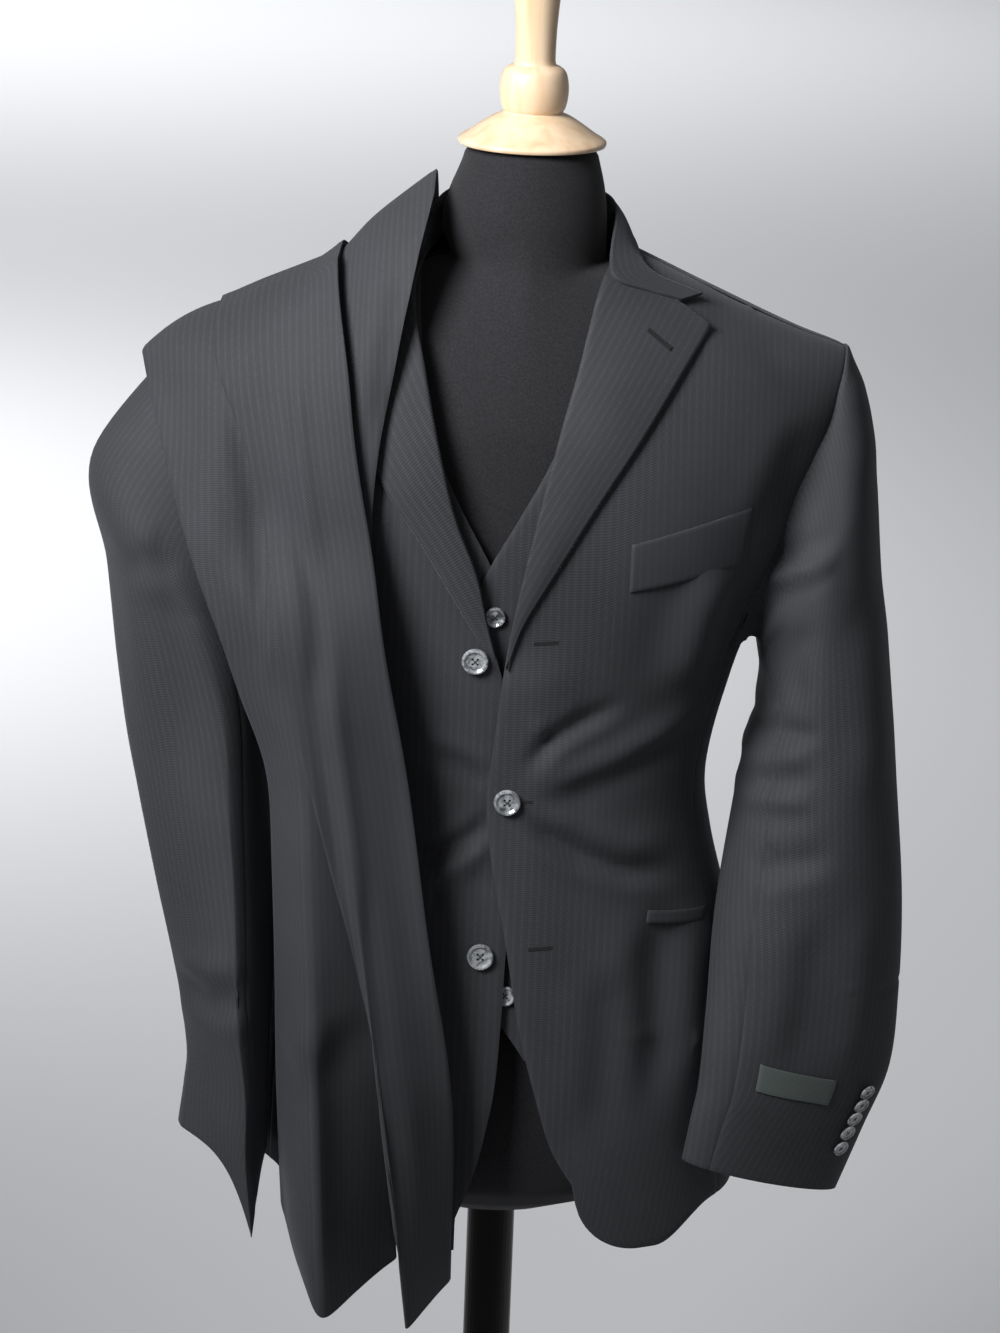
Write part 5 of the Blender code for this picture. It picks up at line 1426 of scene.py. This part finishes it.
# %% [markdown]
# ## Pocket welt, pocket mouth and label
# The chest pocket has a slanting welt, the hip pocket a narrow jetting, and the cuff a
# label that is sewn on flat. They could be drawn on the cloth as a texture, but each one
# is a layer that casts a small shadow. So they are narrow strips of their own, made from
# the points of what they lie on, moved out by their thickness.

# %% Strip sizes
# Corners, distance to +X and height: lower inner, lower outer, upper outer, upper inner.
WELT = ((0.083, 1.248), (0.163, 1.263), (0.170, 1.307), (0.083, 1.283))
JETTING = ((0.108, 0.987), (0.152, 0.980), (0.153, 0.988), (0.109, 0.995))
STRIP_OFF, STRIP_WALL = 0.0013, 0.0011
LABEL_TURN = (126.0, 78.0)           # the label's ends, in degrees round the sleeve
LABEL_WAY = (0.817, 0.773)           # its lower and upper edge, as ways down the sleeve
LABEL_SLANT = 0.040      # how much further down the sleeve its outer end lies
LABEL_OFF, LABEL_WALL = 0.0014, 0.0006
print("welt:", round(WELT[1][0] - WELT[0][0], 3), "m across")


# %% Strips
def strip_place(corners):
    (x0, z0), (x1, z1), (x2, z2), (x3, z3) = corners

    def place(u, v):
        x = lerp(lerp(x0, x1, u), lerp(x3, x2, u), v)
        z = lerp(lerp(z0, z1, u), lerp(z3, z2, u), v)
        return Vector((x, face(x, z, STRIP_OFF), z))

    return place


def label_place(u, v):
    turn = lerp(*LABEL_TURN, u)
    way = lerp(*LABEL_WAY, v) + LABEL_SLANT * u

    def ring(way, turn):
        return sleeve_ring(SLEEVE_LEFT, way, turn, 1)

    around = ring(way, turn - 4) - ring(way, turn + 4)
    along = ring(way - 0.01, turn) - ring(way + 0.01, turn)
    return ring(way, turn) + around.cross(along).normalized() * LABEL_OFF


for name, across, along, corners, node_name in (
        ("cloth_chest_welt", 40, 14, WELT, "chest_welt_left"),
        ("cloth_hip_pocket_jetting", 20, 4, JETTING, "hip_pocket_jetting_left")):
    panel(name, across, along, strip_place(corners), STRIP_WALL, (), node_name,
          grain=0.0, fixed=True)
panel("cloth_cuff_label", 30, 10, label_place, LABEL_WALL, (), "cuff_label", finish=TAPE)
print("strips woven")

# %% [markdown]
# ## Buttonholes and button threads
# A buttonhole is worked round with close short stitches of silk. The left front has one
# beside each button, the middle one covered by its button, and the lapel has one that is
# only for show. Each button is held by a cross of thread. A bump would give the stitches
# no edge of their own, so they are short six-sided cylinders laid on the cloth, few faces
# each because there are so many.

# %% Thread sizes
STITCH_REACH = 0.0014    # half a stitch's length, across the buttonhole
STITCH_STEP = 0.0007     # from one stitch to the next
STITCH_RADIUS = 0.00034
CROSS_REACH = 0.24       # half a cross's arm, as a share of the button's radius
CROSS_RADIUS = 0.00032
BUTTONHOLES = (
    # from x and height to x and height, and how far over the jacket front it lies
    (0.0150, 1.2070, 0.0320, 1.2085, 0.0002),
    (0.0120, 1.0835, 0.0190, 1.0835, 0.0002),
    (0.0200, 0.9700, 0.0370, 0.9712, 0.0002),
    (0.0880, 1.4340, 0.1045, 1.4215, 0.0051),
)
print("buttonholes:", len(BUTTONHOLES))


# %% Buttonhole stitches
def strand(mesh, start, end, radius):
    """One straight piece of thread."""
    way = end - start
    turn = way.to_track_quat("Z", "Y").to_matrix().to_4x4()
    place = Matrix.Translation((start + end) / 2.0) @ turn
    bmesh.ops.create_cone(mesh, segments=6, radius1=radius, radius2=radius, depth=way.length,
                          cap_ends=True, matrix=place)


def thread_piece(name, shape):
    piece = add_piece(name, shape, THREAD, smooth=False)
    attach(piece, "root")


holes = bmesh.new()
for x0, z0, x1, z1, lift in BUTTONHOLES:
    length = math.hypot(x1 - x0, z1 - z0)
    side_x = -(z1 - z0) / length * STITCH_REACH
    side_z = (x1 - x0) / length * STITCH_REACH
    count = round(length / STITCH_STEP)
    for k in range(count + 1):
        x, z = lerp(x0, x1, k / count), lerp(z0, z1, k / count)
        ends = []
        for way in (-1.0, 1.0):
            out_x, out_z = x + way * side_x, z + way * side_z
            depth = face(out_x, out_z, lift + lap(out_x, out_z))
            ends.append(Vector((out_x, depth, out_z)))
        strand(holes, ends[0], ends[1], STITCH_RADIUS)
print("stitches' points:", len(holes.verts))
thread_piece("buttonhole_stitches", holes)

# %% Button threads
# A button's own points tell where it faces: they spread least along its axis.
crosses = bmesh.new()
for name in buttons:
    spots = np.array([nodes[name].matrix_world @ vert.co for vert in nodes[name].data.vertices])
    middle = spots.mean(axis=0)
    outward = np.linalg.svd(spots - middle)[2][2]
    outward = outward * (-1.0 if outward[1] > 0 else 1.0)
    height = (spots - middle) @ outward
    aside = np.linalg.norm(spots - middle - height[:, None] * outward, axis=1)
    reach = aside.max()
    top = height[aside < 0.35 * reach].max() + 0.0001
    up = Vector(unit(np.array((0.0, 0.0, 1.0)) - outward[2] * outward))
    across = up.cross(Vector(outward))
    for way in (-1.0, 1.0):
        arm = (up + across * way).normalized() * reach * CROSS_REACH
        seat = Vector(middle) + Vector(outward) * top
        strand(crosses, seat - arm, seat + arm, CROSS_RADIUS)
thread_piece("button_threads", crosses)
print("buttons sewn on:", len(buttons))

# %% [markdown]
# ## Form cover
# A dress form's torso is padded and covered with stretched jersey, so it has no flats and
# no edges. Smooth shading alone would hide the flats but leave a cornered outline at the
# neck. So it is mapped again from the same sizes as the plain solid, with four times as
# many points round it, and its two ends are closed with an extruded rim. Its neck is
# padded out a little on the side where the trousers lie.

# %% Form sizes
FORM_IN = 0.0116         # form's shoulders lie this far inside the jacket's outside
# Neck: height, half width, front depth, back depth.
FORM_NECK = (
    (1.440, 0.0575, 0.0600, 0.0440), (1.495, 0.0572, 0.0595, 0.0440),
    (1.520, 0.0545, 0.0560, 0.0415), (1.543, 0.0490, 0.0505, 0.0375),
)
FORM_FILLET = 0.012      # how softly the neck grows out of the chest
FORM_NECK_TOP = 1.549    # height of its flat top, under the neck block
FORM_BOTTOM = 0.722      # and of its flat underside
NECK_PAD = 0.11          # how much wider the neck is on the wearer's right
FORM_SHAPE = 2.2         # exponent of its rounded plan section
FORM_SPREAD = 0.9        # power that spreads its points evenly round it
FORM_ROUND, FORM_UP = 144, 174       # steps round it and up it
# Torso: height, half width, front depth, back depth.
FORM = (
    (0.740, 0.100, 0.070, 0.066), (0.760, 0.128, 0.088, 0.084), (0.800, 0.145, 0.098, 0.094),
    (0.880, 0.152, 0.101, 0.096), (0.960, 0.145, 0.095, 0.090), (1.040, 0.132, 0.092, 0.080),
    (1.080, 0.128, 0.092, 0.077), (1.140, 0.134, 0.098, 0.083), (1.220, 0.150, 0.108, 0.096),
    (1.300, 0.168, 0.112, 0.104), (1.350, 0.186, 0.112, 0.108), (1.400, 0.210, 0.106, 0.104),
)
# Heights of its rings, closer together where the shoulders run into the neck.
FORM_HEIGHTS = (0.740, 0.760, 0.800, 0.850, 0.910, 0.970, 1.030, 1.080, 1.140, 1.200, 1.260, 1.310,
                1.350, 1.380, 1.396, 1.407, 1.416, 1.425, 1.435, 1.446, 1.454, 1.461, 1.467, 1.4725,
                1.480, 1.490, 1.503, 1.520, 1.533, 1.543)
print("form's rings:", len(FORM_HEIGHTS))


# %% Form shape
def form_half_width(z):
    """Half width: the torso's, then down the shoulder slope, then the neck's."""
    if z <= 1.400:
        return table(FORM, z, 1)
    # Each millimetre out from the middle is tried.
    inside = [x / 1000 for x in range(215) if ridge(x / 1000, -FORM_IN) >= z]
    return max(table(FORM_NECK, z, 1), inside[-1] if inside else 0.0)


def form_place(u, v):
    spot = v * (len(FORM_HEIGHTS) - 1)
    low = min(int(spot + 1e-6), len(FORM_HEIGHTS) - 2)
    z = lerp(FORM_HEIGHTS[low], FORM_HEIGHTS[low + 1], spot - low)
    turn = 2 * math.pi * u
    half = form_half_width(z)
    x = half * math.copysign(abs(math.sin(turn)) ** FORM_SPREAD, math.sin(turn))
    back = math.cos(turn) < 0
    depth = table(FORM, z, 3 if back else 2)
    across = max(0.0, 1.0 - abs(x / half) ** FORM_SHAPE) ** (1 / FORM_SHAPE)
    torso = depth * across
    if z > 1.30:
        slim = FORM_IN + (0.003 + 0.016 * ease((z - 1.43) / 0.03) if back else 0.003)
        torso = min(torso, max(abs(trunk(x, z, -slim, back)), 0.008 * across))
    round_in = max(0.0, 1.0 - (x / table(FORM_NECK, z, 1)) ** 2)
    neck = table(FORM_NECK, z, 3 if back else 2) * round_in ** 0.5 * ease((z - 1.40) / 0.05)
    fillet = FORM_FILLET * round_in
    y = (torso + neck + math.hypot(torso - neck, fillet)) / 2
    return Vector((x, y if back else -y, z))


def cover_place(u, v):
    """The form's surface, with its neck padded on one side."""
    point = form_place(u, v)
    if point.x < 0.0:
        low = ease((point.z - 1.470) / 0.020)
        point.x *= 1.0 + NECK_PAD * low * ease((FORM_HEIGHTS[-1] - point.z) / 0.045)
    return point


print("form's chest:", [round(c, 3) for c in cover_place(0.0, 0.35)])

# %% Form cover
cover = bmesh.new()
bmesh.ops.create_grid(cover, x_segments=FORM_ROUND, y_segments=FORM_UP, size=1.0)
for vert in cover.verts:
    vert.co = cover_place((vert.co.x + 1.0) / 2.0, (vert.co.y + 1.0) / 2.0)
bmesh.ops.remove_doubles(cover, verts=cover.verts, dist=0.00001)
# Each end ring is carried on to a smaller flat one: ring's height, its share, flat's height.
for height, inset, drop in ((FORM_HEIGHTS[0], 0.55, FORM_BOTTOM),
                            (FORM_HEIGHTS[-1], 0.93, FORM_NECK_TOP)):
    rim = [edge for edge in cover.edges
           if edge.is_boundary and all(abs(vert.co.z - height) < 1e-5 for vert in edge.verts)]
    made = bmesh.ops.extrude_edge_only(cover, edges=rim)["geom"]
    verts = [item for item in made if isinstance(item, bmesh.types.BMVert)]
    for vert in verts:
        vert.co = Vector((vert.co.x * inset, vert.co.y * inset, drop))
    rim = [item for item in made if isinstance(item, bmesh.types.BMEdge)
           and all(vert in verts for vert in item.verts)]
    bmesh.ops.edgeloop_fill(cover, edges=rim)
bmesh.ops.recalc_face_normals(cover, faces=cover.faces)
cover_piece = add_piece("jersey_cover", cover, JERSEY)
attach(cover_piece, "root")
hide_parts("form_torso")
print("form cover faces:", len(cover_piece.data.polygons))

# %% [markdown]
# ## Neck block
# A neck block is turned on a lathe: a tapering stem, a squarish ball, and a disc that
# sheds the cloth. A chain of cylinders and spheres would meet in hard rings, while a
# turner's gouge leaves soft ones. So one profile is drawn from the top down, its corners
# are cut off three times over, which rounds them, and it is spun round the pole.

# %% Neck block
BLOCK_STEPS = 96         # steps of the spin
BLOCK_ROUNDS = 3         # how often the profile's corners are cut off
profile = np.array((
    # radius, height
    (0.0, 1.7000), (0.0165, 1.7000), (0.0200, 1.6960), (0.0198, 1.6900), (0.0152, 1.6400),
    (0.0147, 1.6180), (0.0148, 1.6080), (0.0185, 1.6076), (0.0234, 1.6035), (0.0254, 1.5940),
    (0.0252, 1.5850), (0.0236, 1.5775), (0.0222, 1.5752), (0.0212, 1.5740), (0.0232, 1.5730),
    (0.0290, 1.5705), (0.0370, 1.5655), (0.0460, 1.5590), (0.0540, 1.5545), (0.0546, 1.5520),
    (0.0530, 1.5493), (0.0, 1.5493),
))
for _ in range(BLOCK_ROUNDS):
    near, far = profile[:-1], profile[1:]
    cut = np.stack((0.75 * near + 0.25 * far, 0.25 * near + 0.75 * far), axis=1).reshape(-1, 2)
    profile = np.concatenate((profile[:1], cut, profile[-1:]))
lathe = bmesh.new()
line = [lathe.verts.new((radius, 0.0, height)) for radius, height in profile]
edges = [lathe.edges.new(pair) for pair in zip(line, line[1:])]
bmesh.ops.spin(lathe, geom=line + edges, axis=(0, 0, 1), cent=(0, 0, 0), angle=2 * math.pi,
               steps=BLOCK_STEPS, use_merge=True)
bmesh.ops.remove_doubles(lathe, verts=lathe.verts, dist=0.00001)
bmesh.ops.recalc_face_normals(lathe, faces=lathe.faces)
block = add_piece("turned_neck_block", lathe, BEECH)
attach(block, "root")
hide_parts("neck_block")
print("neck block faces:", len(block.data.polygons))

# %% [markdown]
# ## Floor
# A suit is shown in a studio on a roll of pale paper that runs far back. One large matt
# square does the same.

# %% Floor
FLOOR_HALF = 30.0        # half the floor's width
floor = bmesh.new()
bmesh.ops.create_grid(floor, x_segments=1, y_segments=1, size=FLOOR_HALF)
pale, _, pale_shader = finish_of("matt pale floor", Roughness=0.9)
pale_shader.inputs["Base Color"].default_value = linear("#e6e7ea")
floor_piece = add_piece("floor", floor, pale, smooth=False)
print("floor laid,", 2 * FLOOR_HALF, "m wide")

# %% [markdown]
# ## Light
# Dark wool swallows light, so a soft window light stands close, high on the left, and
# leaves the far side of each fold dark. A weak fill on the right keeps that side from
# going black. Two lights wash the floor behind from the left, so the ground fades from
# nearly white to grey and the suit's outline stands clear of it.

# %% Light
WORLD_STRENGTH = 0.18
world = bpy.data.worlds.new("studio")
bpy.context.scene.world = world
world.use_nodes = True
world.node_tree.nodes["Background"].inputs["Color"].default_value = linear("#f4f5f7")
world.node_tree.nodes["Background"].inputs["Strength"].default_value = WORLD_STRENGTH
bpy.context.scene.view_settings.view_transform = "Standard"
LIGHTS = (
    # name, width, power, spread in degrees, place, what it looks at
    ("window", 1.0, 17.0, 68.0, (-1.30, -1.35, 2.60), (-0.12, -0.1, 1.69)),
    ("fill", 1.6, 1.2, 120.0, (1.7, -2.3, 1.9), (-0.1, 0.0, 1.2)),
    ("far floor wash", 7.0, 360.0, 150.0, (-2.6, 12.5, 5.0), (-1.8, 13.5, 0.0)),
    ("near floor wash", 3.0, 84.0, 120.0, (-2.4, 4.3, 3.0), (-1.8, 4.5, 0.0)),
)
for name, width, power, spread, place, target in LIGHTS:
    lamp = bpy.data.lights.new(name, "AREA")
    lamp.size, lamp.energy, lamp.spread = width, power, math.radians(spread)
    holder = bpy.data.objects.new(name, lamp)
    bpy.context.scene.collection.objects.link(holder)
    holder.location = place
    holder.rotation_mode = "QUATERNION"
    holder.rotation_quaternion = (Vector(target) - Vector(place)).to_track_quat("-Z", "Y")
print("lights set:", len(LIGHTS))

# %% [markdown]
# ## Camera
# A long lens from three metres away keeps the suit's proportions true. It stands a little
# above the shoulders and looks down, so the tops of the sleeves and the round of the
# lapels show, and it is turned by two degrees about its own axis, as a hand would hold it.

# %% Camera
LENS, SENSOR = 107.8, 36.0           # in millimetres
STAND_AT = (-0.009, -2.9, 2.011)
LOOK_DOWN, ROLL = 16.5, 2.16         # in degrees
camera = bpy.data.objects.new("camera", bpy.data.cameras.new("camera"))
bpy.context.scene.collection.objects.link(camera)
camera.data.lens, camera.data.sensor_width = LENS, SENSOR
camera.data.clip_end = 100.0
tilt = Matrix.Rotation(math.radians(90.0 - LOOK_DOWN), 4, "X")
roll = Matrix.Rotation(math.radians(ROLL), 4, "Z")
camera.matrix_world = Matrix.Translation(STAND_AT) @ tilt @ roll
bpy.context.scene.camera = camera
print("camera set, lens", LENS, "mm")
